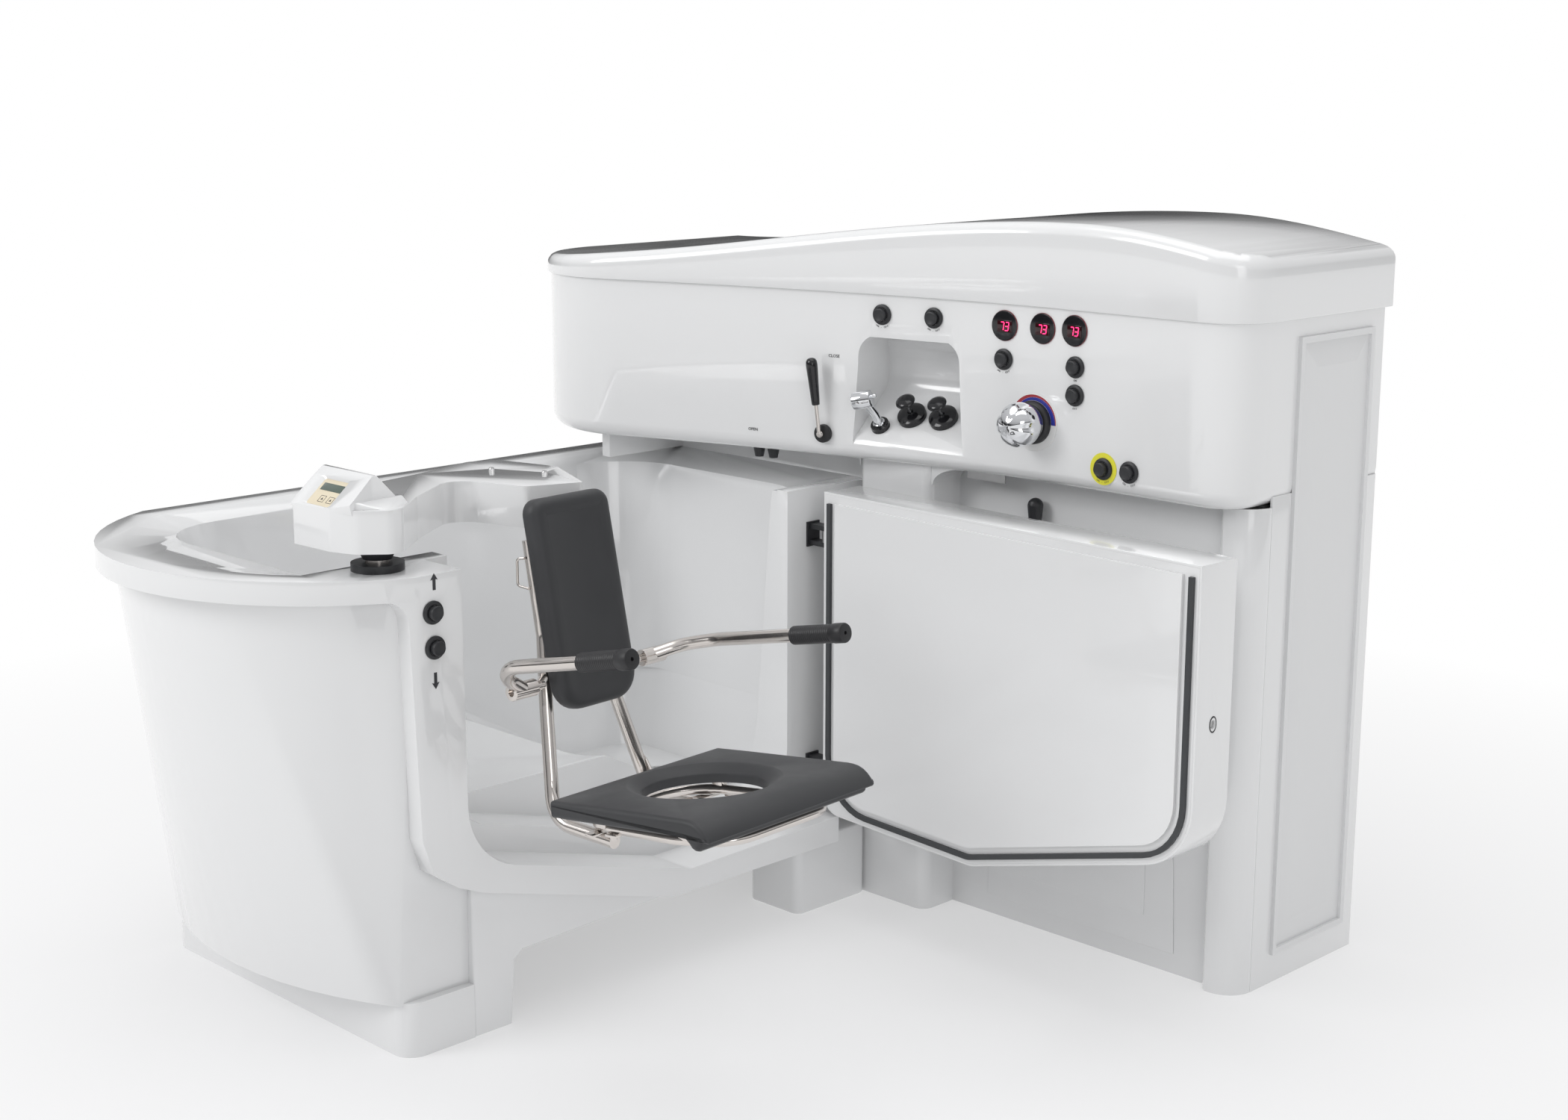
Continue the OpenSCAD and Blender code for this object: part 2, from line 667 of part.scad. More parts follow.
// Bottom outline of the apron, inset by g
function apron_low(g) = let (x0 = tub_far + apron_in + g, x1 = tub_x - apron_in - g,
  r = low_r - g, xc = nose_x + 3, cy = nose_y - nose_r + 170 + low_r)
  concat([[x1, tub_y], [x0, tub_y]],
    arc([xc, cy], r, atan2(-sqrt(r * r - pow(xc - x0, 2)), x0 - xc) + 1.5,
      atan2(-sqrt(r * r - pow(x1 - xc, 2)), x1 - xc) - 1.5, 12));
low_r = 795;
module tub_apron() color("white") at_origin() {
  t = apron_t;
  z1 = rim_h - rim_band;
  kx0 = tub_far + apron_in;
  kx1 = tub_x - apron_in;
  ky = nose_y - 197;
  seam = jamb_y + 26;
  difference() {
    union() {
      difference() {
        hull() {
          slab(rim_plan(apron_in, tub_x - apron_in), z1 - 0.5, z1);
          slab(apron_low(0), kick_h, kick_h + 0.5);
        }
        hull() {
          slab(rim_plan(apron_in + t, tub_x - apron_in - t), z1 - 0.4, z1 + 1);
          slab(apron_low(t), kick_h + t, kick_h + t + 0.5);
        }
      }
      slab(rbox(kx0, ky, kx1, tub_y, 40), 0, kick_h + t);
    }
    slab(rbox(kx0 + t, ky + t, kx1 - t, tub_y + 50, 36), -1, kick_h);
    // Near side is cut at the seam, back end is open, and the door frame passes through
    translate([nose_x, seam, -1]) cube([900, 2000, z1 + 2]);
    translate([tub_far - 50, tub_y - 0.5, -1]) cube([2000, 200, z1 + 2]);
    door_frame_band(plate_v - plate_t, door_out + 40);
  }
}

module side_plinth() color("white") at_origin() {
  y0 = jamb_y + 26;
  yk = hy - door_u - kink_u - 51;
  p = [[y0, 0], [y0 + 87, 0], [y0 + 96, 125], [y0 + 114, 140], [yk + 9, sill_low - 8],
    [yk, sill_low], [y0, sill_low + (yk - y0) / (yk - jamb_y - 27) * 130]];
  translate([tub_x - apron_in - 40, 0, 0]) rotate([90, 0, 90]) linear_extrude(40) polygon(p);
  // Foot box beside the console
  slab(rbox(hx - 137, hy - 101, hx + 12, -console_d + 5.5, 20), 0, sill_low);
}

module floor_drain() color("silver") at_origin() {
  translate([waste_x, tub_y - 281, 0]) difference() {
    union() {
      translate([0, 0, well_h]) cylinder(d = drain_d + 26, h = 3);
      translate([0, 0, well_h - 70]) cylinder(d = drain_d - 0.4, h = 71);
    }
    translate([0, 0, well_h - 71]) cylinder(d = drain_d - 6, h = 70);
    for (a = [0:60:300]) {
      rotate([0, 0, a]) translate([14, 0, well_h - 5]) cylinder(d = 8, h = 10);
    }
  }
}

module filler_nozzles() color("black") at_origin() {
  for (q = nozzle) {
    translate([q[0], q[1], belly_z - 24]) difference() {
      union() {
        cylinder(d1 = 18, d2 = 28, h = 24);
        cylinder(d = 16, h = 24 + skin + 6);
      }
      translate([0, 0, -1]) cylinder(d = 10, h = 60);
    }
  }
}

function cut_top(p, z) = [for (q = p) [q[0], min(q[1], z)]];
module door_outer() color("white") at_origin() {
  w = door_wall;
  open_door() translate([door_u, 0, 0]) difference() {
    union() {
      difference() {
        upright(cut_top(door_shape(0, hinge_r), door_top), door_in, door_out);
        upright(cut_top(door_shape(w, hinge_r), door_top - w), door_in - 1, door_out - w);
      }
      // Bush for the latch bolt
      translate([door_w - 70, bolt_v, bolt_z]) rotate([0, 90, 0]) cylinder(d = bolt_d + 12, h = 70 - 1);
    }
    translate([door_w - 80, bolt_v, bolt_z]) rotate([0, 90, 0])
      cylinder(d = bolt_d + 2 * run_gap, h = 100);
  }
}
module door_inner() color("white") at_origin() {
  open_door() translate([door_u, 0, 0]) {
    upright(cut_top(door_shape(door_wall, hinge_r), door_top - door_wall), door_in, door_in + 4);
    upright(cut_top(door_shape(38), door_top - 20), door_in - 7, door_in);
  }
}
module door_gasket() color("dimgray") at_origin() {
  open_door() translate([door_u, 0, 0]) difference() {
    upright(cut_top(door_shape(14), door_top - 22), door_in - gasket_h, door_in);
    upright(door_shape(14 + gasket_w), door_in - 20, door_in + 1);
  }
}
// Knuckles on a long flange against the hinge end of the door
knuckle_z = [hinge_low + 79, door_top - 103];
knuckle_h = 24;
module hinge_strap() color("silver") at_origin() {
  open_door() difference() {
    union() {
      translate([door_u - 4, -15, knuckle_z[0] - 30]) cube([4, 30, knuckle_z[1] - knuckle_z[0] + 60]);
      for (z = knuckle_z) {
        translate([0, 0, z - knuckle_h / 2]) cylinder(d = pin_d + 14, h = knuckle_h);
        translate([0, -5, z - knuckle_h / 2]) cube([door_u - 3, 10, knuckle_h]);
      }
    }
    for (z = knuckle_z) {
      translate([0, 0, z - knuckle_h]) cylinder(d = pin_d + 2 * run_gap, h = 2 * knuckle_h);
    }
  }
}
module hinge_pins() color("dimgray") at_origin() {
  px = plate_v;
  translate([hx, hy, 0]) for (z = knuckle_z) {
    translate([0, 0, z - knuckle_h / 2 - 12]) cylinder(d = pin_d, h = knuckle_h + 24);
    for (s = [-1, 1]) {
      translate([0, 0, z + s * (knuckle_h / 2 + soft_gap + 5) - 5]) {
        cylinder(d = pin_d + 14, h = 10);
        translate([px, -12, 0]) cube([-px, 24, 10]);
      }
    }
    translate([px, -18, z - knuckle_h / 2 - 14]) cube([4, 36, knuckle_h + 28]);
  }
}
module latch_bolt() color("silver") at_origin() {
  open_door() translate([door_end - 81 - bolt_out, bolt_v, bolt_z]) rotate([0, 90, 0]) {
    cylinder(d = bolt_d, h = 77 + bolt_out);
    cylinder(d = bolt_d + 8, h = 10);
  }
}

module lift_sleeve() color("silver") at_origin() {
  translate([post_x, post_y, sleeve_low]) difference() {
    cylinder(d = ram_d + 2 * sleeve_t, h = rim_h - sleeve_low);
    translate([0, 0, -1]) cylinder(d = ram_d + 2 * run_gap, h = rim_h);
  }
}
module lift_disc() color("black") at_origin() {
  translate([post_x, post_y, rim_h]) difference() {
    cylinder(d = disc_d, h = disc_h);
    translate([0, 0, -1]) cylinder(d = ram_d + 1, h = disc_h + 2);
  }
}
module lift_ram() color("silver") at_origin() {
  translate([post_x, post_y, sleeve_low]) {
    cylinder(d = ram_d, h = arm_z - cone_h - sleeve_low);
    cylinder(d = spigot_d, h = arm_z + 44 - sleeve_low);
  }
}
module ram_cone() color("black") at_origin() {
  translate([post_x, post_y, arm_z - cone_h]) difference() {
    cylinder(d1 = ram_d + 8, d2 = ram_d + 28, h = cone_h);
    translate([0, 0, -1]) cylinder(d = spigot_d + 2 * run_gap, h = cone_h + 2);
  }
}
module arm_place() {
  translate([post_x, post_y, 0]) children();
}
module arm_casing() color("white") at_origin() {
  t = casing_t;
  arm_place() difference() {
    slab(rounded(casing_poly, casing_r, 5), arm_z, arm_top);
    slab(rounded(inset(casing_poly, t), casing_r, 5), arm_z + t, arm_top - t);
    translate([0, 0, arm_z - 1]) cylinder(d = spigot_d + 8, h = t + 2);
    translate([hang_x, hang_y, arm_z - 2]) rotate([0, 0, chair_yaw])
      translate([-hang_w / 2 - 0.5, -hang_w / 2 - 0.5, 0]) cube([tongue + 1, hang_w + 1, casing_t + 3]);
    for (q = screw_pos) {
      translate([q[0], q[1], arm_top - casing_t - 1]) cylinder(d = 5.2, h = casing_t + 2);
    }
  }
}
// Wedge head with its sloping display face
head_y0 = -112;
head_y1 = -27;
head_h = 54;
module scale_head() color("white") at_origin() {
  arm_place() difference() {
    translate([-119, 0, arm_top]) rotate([90, 0, 90]) linear_extrude(150)
      polygon([[40, 0], [head_y0 + 26, 0], [head_y0 + 24, 4], [head_y1, head_h], [head_y1 + 10, head_h]]);
    translate([-113, 0, arm_top]) rotate([90, 0, 90]) linear_extrude(138)
      polygon([[30, -1], [head_y0 + 38, -1], [head_y1 + 1, head_h - 9], [head_y1 + 6, head_h - 9]]);
  }
}
module scale_panel() color("wheat") at_origin() {
  w = 80;
  a = atan2(head_h - 4, head_y1 - head_y0 - 24);
  arm_place() translate([-93, head_y0 + 24, arm_top + 4]) rotate([a, 0, 0]) translate([0, 3, 0])
    difference() {
    cube([w, 62, 1.5]);
    translate([15, 32, 1]) cube([62, 15, 1]);
    for (x = [33, 59]) {
      translate([x, 7, 1]) cube([16, 15, 1]);
    }
  }
}
// Outline of a bent bar: a path with its half width at each point
function path_n(p, i) = let (a = left_n(p[i > 0 ? i - 1 : 0], p[i > 0 ? i : 1]),
  b = left_n(p[i < len(p) - 1 ? i : i - 1], p[i < len(p) - 1 ? i + 1 : i])) (a + b) / (1 + a * b);
function strip(p, h) = concat([for (i = [0:len(p) - 1]) p[i] + path_n(p, i) * h[i]],
  [for (i = [len(p) - 1:-1:0]) p[i] - path_n(p, i) * h[i]]);
beam_z = arm_z + casing_t;
module arm_beam() color("silver") at_origin() {
  z0 = beam_z;
  z1 = arm_z + 38;
  p = [[-3, 6], [-125, 250], [-125, 330], [hang_x, hang_y]];
  arm_place() difference() {
    union() {
      translate([0, 0, arm_z]) cylinder(d = spigot_d + 8 - 0.6, h = 10);
      translate([0, 0, z0]) cylinder(d = spigot_d + 24, h = z1 - z0 + 3);
      slab(strip(p, [20, 20, 18, hang_w / 2]), z0, z1);
    }
    translate([0, 0, arm_z - 1]) cylinder(d = spigot_d + 2 * run_gap, h = 90);
    translate([hang_x, hang_y, z0 - 1]) rotate([0, 0, chair_yaw])
      translate([-hang_w / 2, -50, 0]) cube([100, 100, 90]);
  }
}
screw_pos = [[40, -52], [-128, 352], [-30, 400]];
module casing_screws() color("silver") at_origin() {
  arm_place() for (q = screw_pos) {
    translate([q[0], q[1], arm_top - casing_t]) cylinder(d = 5, h = casing_t);
    translate([q[0], q[1], arm_top]) cylinder(d1 = 11, d2 = 8, h = 2.5);
  }
}

module at_chair() {
  translate([chx, chy, 0]) rotate([0, 0, chair_yaw]) children();
}
// Chair hanger: a bar with a tongue that enters the arm
bar_z = [seat_z + 185, arm_z - 36];
bend_z = [seat_z + 110, seat_z + 230];
tube_top = arm_z - 6;
function tube_f(z) = z < bend_z[1] ? -150 - (z - bend_z[0]) * 26 / (bend_z[1] - bend_z[0])
  : -176 - (z - bend_z[1]) * 32 / (tube_top - bend_z[1]);
module chair_hanger() color("silver") at_origin() {
  w = hang_w;
  at_chair() {
    translate([hf - w / 2, hl - w / 2, bar_z[0] - 25]) cube([w, w, arm_z - soft_gap - bar_z[0] + 25]);
    translate([hf - w / 2, hl - w / 2, arm_z - 1]) cube([tongue, w, 37]);
    for (z = bar_z) {
      translate([hf, hl - 12, z - 8]) cube([tube_f(z) - 10 - hf, 24, 16]);
    }
  }
}
low_z = seat_z - 85;
module back_frame() color("silver") at_origin() {
  at_chair() {
    for (s = [-1, 1]) {
      pipe([[60, s * 121, low_z], [-95, s * 120, low_z + 2], [-150, s * 82, bend_z[0]],
        [-176, s * 62, bend_z[1]], [-208, s * 62, tube_top]], tube_d);
      // Wire gusset, armrest bracket and pin
      rod([-108, s * 110, low_z + 75], [-66, s * 121, low_z + 8], 6);
      rod([-162, s * 74, pivot_z], [pivot_f, s * 122, pivot_z], 18);
      rod([pivot_f, s * 110, pivot_z], [pivot_f, s * pivot_out, pivot_z], pivot_d);
    }
    for (z = bar_z) {
      rod([tube_f(z), -66, z], [tube_f(z), 66, z], 20);
      // Studs that carry the back pad
      for (s = [-1, 1]) {
        rod([tube_f(z), s * 30, z], [tube_f(z) + pad_reach(z), s * 30, z], 12);
      }
    }
  }
}
back_lean = 11.8;
back_z0 = seat_z + 110;
back_f0 = -85;
function back_rear(z) = back_f0 - (z - back_z0) * tan(back_lean) - back_t / cos(back_lean);
function pad_reach(z) = back_rear(z) - tube_f(z) - 1.6;

module seat_loop() color("silver") at_origin() {
  z = -pad_t - 22;
  d = 18;
  at_chair() translate([0, 0, seat_z]) rotate([0, -seat_tilt, 0]) {
    pipe([[-4, -150, z], [220, -150, z], [290, -128, z], [326, -80, z], [336, 0, z], [326, 80, z],
      [290, 128, z], [220, 150, z], [-4, 150, z], [-22, 120, z], [-22, -120, z], [-4, -150, z]], d, true);
    // Pads that carry the seat
    for (s = [-1, 1]) {
      for (x = [40, 238]) {
        translate([x, s * 146 - 8, z]) cube([24, 16, 22 - soft_gap]);
      }
    }
  }
}
// Clamps between the back tubes and the seat loop, and the wire hook behind the pad
module chair_fittings() color("silver") at_origin() {
  zl = seat_z + 26 * tan(seat_tilt) - (pad_t + 22 + 9) / cos(seat_tilt);
  at_chair() {
    for (s = [-1, 1]) {
      // The tube under the clamp rises half a millimetre
      translate([26, s * 134 - 26, low_z + tube_d / 2 + 0.6]) cube([20, 52, zl - low_z - tube_d / 2 - 1]);
    }
    z = bar_z[1];
    pipe([[-204, -77.3, z], [-232, -84, z - 4], [-232, -84, z - 50], [-194, -77.3, z - 54]], 5);
  }
}
pivot_f = -125;
pivot_z = seat_z + 160;
pivot_d = 14;
pivot_out = 176;
eye_l = 54;
near_path = [[-118, -172, pivot_z + 13], [-106, -206, pivot_z + 45], [-92, -arm_half + 6, pivot_z + 58],
  [-62, -arm_half, pivot_z + 67], [100, -arm_half, pivot_z + 103]];
far_path = [[-104, 172, pivot_z + 10], [-66, 204, pivot_z + 24], [-40, arm_half - 6, pivot_z + 31],
  [-10, arm_half, pivot_z + 37], [162, arm_half, pivot_z + 73]];
module armrest(path, s) {
  at_chair() difference() {
    union() {
      translate([pivot_f, s * 132 + (s < 0 ? 0 : eye_l), pivot_z]) rotate([90, 0, 0])
        cylinder(d = 31, h = eye_l);
      pipe(concat([[pivot_f + 4, s * 158, pivot_z + 4]], run_on(path)), tube_d - 0.4);
    }
    translate([pivot_f, 0, pivot_z]) rotate([s * -90, 0, 0]) translate([0, 0, 120])
      cylinder(d = pivot_d + 2 * run_gap, h = pivot_out + 1 - 120);
  }
}
// Grip that starts at b on a tube coming from a; the tube runs into it and ends grip_end short
grip_end = 30;
module grip(a, b) {
  v = unit(b - a);
  at_chair() difference() {
    union() {
      rod(b, b + v * (grip_l - 20), grip_d - 2);
      rod(b + v * (grip_l - 26), b + v * grip_l, grip_d);
    }
    rod(b - v, b + v * (grip_l - grip_end), tube_d - 0.4);
    rod(b + v * (grip_l - 4), b + v * (grip_l + 4), 7);
  }
}
function run_on(p) = let (n = len(p), v = unit(p[n - 1] - p[n - 2]))
  [for (i = [0:n - 1]) i < n - 1 ? p[i] : p[i] + v * (grip_l - grip_end)];
module armrest_near() color("silver") at_origin() armrest(near_path, -1);
module armrest_far() color("silver") at_origin() armrest(far_path, 1);
module grip_near() color("black") at_origin() grip(near_path[3], near_path[4]);
module grip_far() color("black") at_origin() grip(far_path[3], far_path[4]);

// Cushion skins: rings of a rounded outline, from a middle point or an inner hole
ring_n = 52;
function sup(a, hx0, hy0, e) = let (c = cos(a), s = sin(a),
  k = pow(pow(abs(c), e) + pow(abs(s), e), -1 / e)) [hx0 * c * k, hy0 * s * k];
module ring_solid(rings) {
  m = len(rings);
  n = ring_n;
  polyhedron([for (r = rings) each r], [for (i = [0:m - 1], j = [0:n - 1], k = [0, 1])
    let (a = i * n + j, b = i * n + (j + 1) % n, c = ((i + 1) % m) * n + j,
      d = ((i + 1) % m) * n + (j + 1) % n) k == 0 ? [a, c, b] : [b, c, d]]);
}
module closed_solid(rings, bottom, top) {
  m = len(rings);
  n = ring_n;
  polyhedron(concat([for (r = rings) each r], [bottom, top]),
    concat([for (i = [0:m - 2], j = [0:n - 1], k = [0, 1])
      let (a = i * n + j, b = i * n + (j + 1) % n, c = (i + 1) * n + j, d = (i + 1) * n + (j + 1) % n)
      k == 0 ? [a, c, b] : [b, c, d]],
    [for (j = [0:n - 1]) [m * n, j, (j + 1) % n]],
    [for (j = [0:n - 1]) [m * n + 1, (m - 1) * n + (j + 1) % n, (m - 1) * n + j]]));
}
// Seat pad: flat with a bevelled oval hole and a front edge that rolls down
hole_f = 158;
hole_x = 116;
hole_y = 103;
seat_side = -8;
lip_l = 40;
lip_drop = 34;
// A seat skin point: s goes from the hole edge (0) to the outer edge (1), g pulls the edge in
function seat_pt(a, s, g, z) = let (sd = seat_d + lip_l, o = sup(a, sd / 2 - g, seat_w / 2 - g, 9),
  q = [hole_x * cos(a), hole_y * sin(a)], x = (1 - s) * (hole_f + q[0]) + s * (sd / 2 + o[0]),
  y = (1 - s) * q[1] + s * (o[1] + seat_side), f = max(0, (x - seat_d + 12) / (lip_l + 12)))
  [x, y, z - lip_drop * f * f];
module seat_pad() color("dimgray") at_origin() {
  t = pad_t;
  prof = [[0.02, 0, -t], [0.5, 0, -t], [0.96, 4, -t], [1, 1, -t + 6], [1, 3, -t / 2], [1, 0, -9],
    [1, 3, -3], [0.97, 4, -0.5], [0.72, 0, 1.2], [0.42, 0, 0.6], [0.3, 0, -1], [0.06, 0, -11],
    [0, 0, -15], [0, 0, -t + 4]];
  at_chair() translate([0, 0, seat_z]) rotate([0, -seat_tilt, 0])
    ring_solid([for (p = prof) [for (j = [0:ring_n - 1]) seat_pt(360 * j / ring_n, p[0], p[1], p[2])]]);
}
function back_pt(a, k, z) = let (m = back_w / 2 * (1 - k), o = sup(a, back_w / 2 - m, back_h / 2 - m, 5))
  [o[0], o[1], z];
module back_pad() color("dimgray") at_origin() {
  t = back_t;
  prof = [[0.6, -0.2], [0.93, 0], [0.985, 3], [1, 8], [0.985, t / 2], [1, t - 9], [0.985, t - 4],
    [0.94, t - 1.2], [0.82, t - 0.2], [0.5, t + 1.2]];
  at_chair() translate([back_f0, 0, back_z0]) rotate([0, -back_lean, 0])
    translate([-back_t, 0, back_h / 2]) rotate([90, 0, 90])
    closed_solid([for (p = prof) [for (j = [0:ring_n - 1]) back_pt(360 * j / ring_n, p[0], p[1])]],
      [0, 0, -0.2], [0, 0, t + 1.8]);
}

// Push buttons: a bezel with its barrel, and a sprung cap on a stem
module bezel(p) {
  difference() {
    union() {
      plug(bezel_d, -p, flange_h);
      plug(barrel_d, barrel_l, 1);
    }
    translate([0, -1.2, 0]) plug(cap_d + 0.8, 0, flange_h + 2);
    plug(stem_d + 2 * run_gap, barrel_l + 5, flange_h + 5);
  }
}
module button() {
  plug(cap_d, -1.2 - press - 0.3, 12);
  plug(cap_d - 6, -8, 14);
  plug(stem_d, barrel_l + 3, 8);
}
module button_bezels() color("black") at_origin() {
  for (b = btn) {
    on_front(b[0], b[1]) bezel(proud(b[0], bezel_d / 2) + 0.2);
  }
  for (b = side_pos) {
    on_pillar(b[0], b[1]) bezel(0.2);
  }
}
module front_button(i) {
  on_front(btn[i][0], btn[i][1]) button();
}
module hand_spray_button() color("black") at_origin() front_button(0);
module air_button() color("black") at_origin() front_button(1);
module tub_fill_button() color("black") at_origin() front_button(2);
module reservoir_fill_button() color("black") at_origin() front_button(3);
module reservoir_auto_button() color("black") at_origin() front_button(4);
module disinfect_button() color("black") at_origin() front_button(5);
module rinse_button() color("black") at_origin() front_button(6);
module lift_up_button() color("black") at_origin() on_pillar(side_pos[0][0], side_pos[0][1]) button();
module lift_down_button() color("black") at_origin() on_pillar(side_pos[1][0], side_pos[1][1]) button();

module displays() color("black") at_origin() {
  for (b = disp) {
    on_front(b[0], b[1]) {
      plug(display_d, -proud(b[0], display_d / 2) - soft_gap, 4);
      plug(display_d - 6, -3, 5);
      plug(40, 14, 1);
    }
  }
}
module mixer_ring() color("white") at_origin() {
  on_front(mix_x, mix_z) difference() {
    union() {
      plug(dial_d, -proud(mix_x, dial_d / 2) - soft_gap, 3.5);
      plug(knob_d - 4, -2, 16);
      plug(50, 40, 1);
    }
    plug(spindle_d + 2 * run_gap, 50, 30);
  }
  // Boss of the valve lever
  on_front(lev_x, lev_z) difference() {
    union() {
      plug(38, -soft_gap, 12);
      plug(26, 30, 1);
    }
    plug(spindle_d + 2 * run_gap, 40, 30);
  }
}
module mixer_knob() color("silver") at_origin() {
  on_front(mix_x, mix_z) {
    plug(spindle_d, 38, 30);
    plug(knob_d - 16, -16.3, 30);
    translate([0, -48, 0]) intersection() {
      sphere(d = knob_d, $fn = 48);
      translate([-60, -60, -60]) cube([120, 79, 120]);
    }
  }
}
lever_yaw = 8;
module lever_place() {
  on_front(lev_x, lev_z) translate([0, -17, 0]) rotate([0, -lever_yaw, 0]) children();
}
module lever_arm() color("silver") at_origin() {
  lever_place() {
    translate([0, 17, 0]) plug(spindle_d, 28, 14);
    plug(22, 4.7, 5);
    rod([0, 0, 0], [0, -8, lever_l - 96], 8.5);
    rod([0, -8, lever_l - 96], [0, -14, lever_l - 12], 8);
  }
}
module lever_grip() color("black") at_origin() {
  lever_place() difference() {
    hull() {
      rod([0, -9.1, lever_l - 80], [0, -9.3, lever_l - 77], 17);
      translate([0, -14, lever_l - 11]) sphere(d = 24, $fn = 24);
    }
    rod([0, -8, lever_l - 96], [0, -14, lever_l - 12], 8);
  }
}

// Niche fittings: spray socket and the collars of the two soap pumps
pump_stem = 9;
pump_lift = 22;
module niche_sockets() color("black") at_origin() {
  in_niche() {
    on_slope(niche_pos[0][0], niche_pos[0][1]) difference() {
      union() {
        cylinder(d = 40, h = 12);
        translate([0, 0, -20]) cylinder(d = 20, h = 21);
      }
      translate([0, 0, -18]) cylinder(d = 16 + 2 * run_gap + 0.6, h = 60);
    }
    for (i = [1, 2]) {
      on_slope(niche_pos[i][0], niche_pos[i][1]) difference() {
        union() {
          cylinder(d = 54, h = 10);
          translate([0, 0, 10]) cylinder(d1 = 54, d2 = 30, h = 10);
          translate([0, 0, -20]) cylinder(d = 20, h = 21);
        }
        translate([0, 0, -24]) cylinder(d = pump_stem + 2 * run_gap, h = 80);
      }
    }
  }
}
module pump() {
  translate([0, 0, -16]) cylinder(d = pump_stem, h = 20 + pump_lift + 18);
  translate([0, 0, 20 + pump_lift]) cylinder(d1 = 26, d2 = 37, h = 5);
  translate([0, 0, 25 + pump_lift]) cylinder(d1 = 37, d2 = 26, h = 7);
}
module oil_pump() color("black") at_origin() {
  in_niche() on_slope(niche_pos[1][0], niche_pos[1][1]) pump();
}
module shampoo_pump() color("black") at_origin() {
  in_niche() on_slope(niche_pos[2][0], niche_pos[2][1]) pump();
}
module hand_spray() color("silver") at_origin() {
  in_niche() on_slope(niche_pos[0][0], niche_pos[0][1]) {
    translate([0, 0, -14]) cylinder(d = 16, h = 94);
    translate([0, 0, 12 + soft_gap]) cylinder(d = 24, h = 5);
    rod([0, 0, 40], [-4, -6, 84], 17);
    translate([-4, -6, 88]) rotate([0, 90, 20]) {
      translate([0, 0, -20]) cylinder(d = 34, h = 36);
      translate([-6, 0, 15]) cylinder(d = 9, h = 16);
    }
  }
}

console_casing();
console_cap();
niche_insert();
corner_post();
side_panel();
recess_wall();
access_panel();
rear_panels();
inner_frame();
reservoir_tank();
drain_lever();
tub_basin();
tub_apron();
side_plinth();
floor_drain();
filler_nozzles();
door_outer();
door_inner();
door_gasket();
hinge_strap();
hinge_pins();
latch_bolt();
lift_sleeve();
lift_disc();
lift_ram();
ram_cone();
arm_casing();
scale_head();
scale_panel();
arm_beam();
casing_screws();
chair_hanger();
back_frame();
seat_loop();
chair_fittings();
back_pad();
seat_pad();
armrest_near();
grip_near();
armrest_far();
grip_far();
button_bezels();
hand_spray_button();
air_button();
tub_fill_button();
reservoir_fill_button();
reservoir_auto_button();
disinfect_button();
rinse_button();
lift_up_button();
lift_down_button();
displays();
mixer_ring();
mixer_knob();
lever_arm();
lever_grip();
hand_spray();
niche_sockets();
oil_pump();
shampoo_pump();
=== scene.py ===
import json
import math

import bmesh
import bpy
from mathutils import Matrix, Vector

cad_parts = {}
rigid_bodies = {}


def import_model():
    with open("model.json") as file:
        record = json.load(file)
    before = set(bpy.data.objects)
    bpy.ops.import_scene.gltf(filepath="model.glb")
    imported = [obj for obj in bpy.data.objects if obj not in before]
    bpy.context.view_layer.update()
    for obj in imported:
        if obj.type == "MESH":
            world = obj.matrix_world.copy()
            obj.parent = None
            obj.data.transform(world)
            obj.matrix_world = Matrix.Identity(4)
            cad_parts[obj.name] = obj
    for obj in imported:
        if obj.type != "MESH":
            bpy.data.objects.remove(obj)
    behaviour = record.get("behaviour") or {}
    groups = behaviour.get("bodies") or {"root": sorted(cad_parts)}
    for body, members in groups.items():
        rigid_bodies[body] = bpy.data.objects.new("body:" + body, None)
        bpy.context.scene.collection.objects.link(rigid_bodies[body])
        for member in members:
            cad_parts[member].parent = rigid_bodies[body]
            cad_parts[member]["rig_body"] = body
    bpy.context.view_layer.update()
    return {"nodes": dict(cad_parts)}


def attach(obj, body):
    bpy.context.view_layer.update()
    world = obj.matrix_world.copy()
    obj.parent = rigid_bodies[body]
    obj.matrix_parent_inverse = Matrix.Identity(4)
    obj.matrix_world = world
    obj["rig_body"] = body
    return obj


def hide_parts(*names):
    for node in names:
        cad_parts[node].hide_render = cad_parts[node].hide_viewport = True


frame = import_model()
NODES = frame["nodes"]

# Sizes and places in millimetres, measured from the console's right rear corner
MM = 0.001

# Console: X runs along its front, the bow starts at BOW_X and the cap's crest is at CREST_X
CONSOLE_W, CONSOLE_D = 1816.0, 498.0
BOW, BOW_X, BOW_L = 250.0, -450.0, 1100.0
END_R, CORNER_R = 250.0, 100.0
CAP_Z, CREST_X, CREST_H, LEFT_H, FALL = 1300.0, -380.0, 1462.0, 1340.0, 45.0
BELLY_Z, SHELL_IN, BACK_IN = 955.0, 8.0, -14.4
NICHE, NICHE_SLOPE = (-783, 994), 40.0

# Tub, with its round nose, and the column and wall behind it
RIM_H, RIM_BAND = 894.0, 42.0
TUB_X, TUB_Y, TUB_FAR = -862.0, -434.0, -1725.0
NOSE_X, NOSE_Y, NOSE_R = -1300.0, -1517.0, 468.0
COLUMN_X, COLUMN_W, WALL_Y = TUB_X - 85, 203.0, -CONSOLE_D + 100

# Door, open as in the photograph
HINGE_X, HINGE_Y, DOOR_YAW = -922.0, -602.0, 2.2
DOOR_U, DOOR_W, DOOR_OUT, LATCH_Z = 28.0, 953.0, 60.0, 607.0

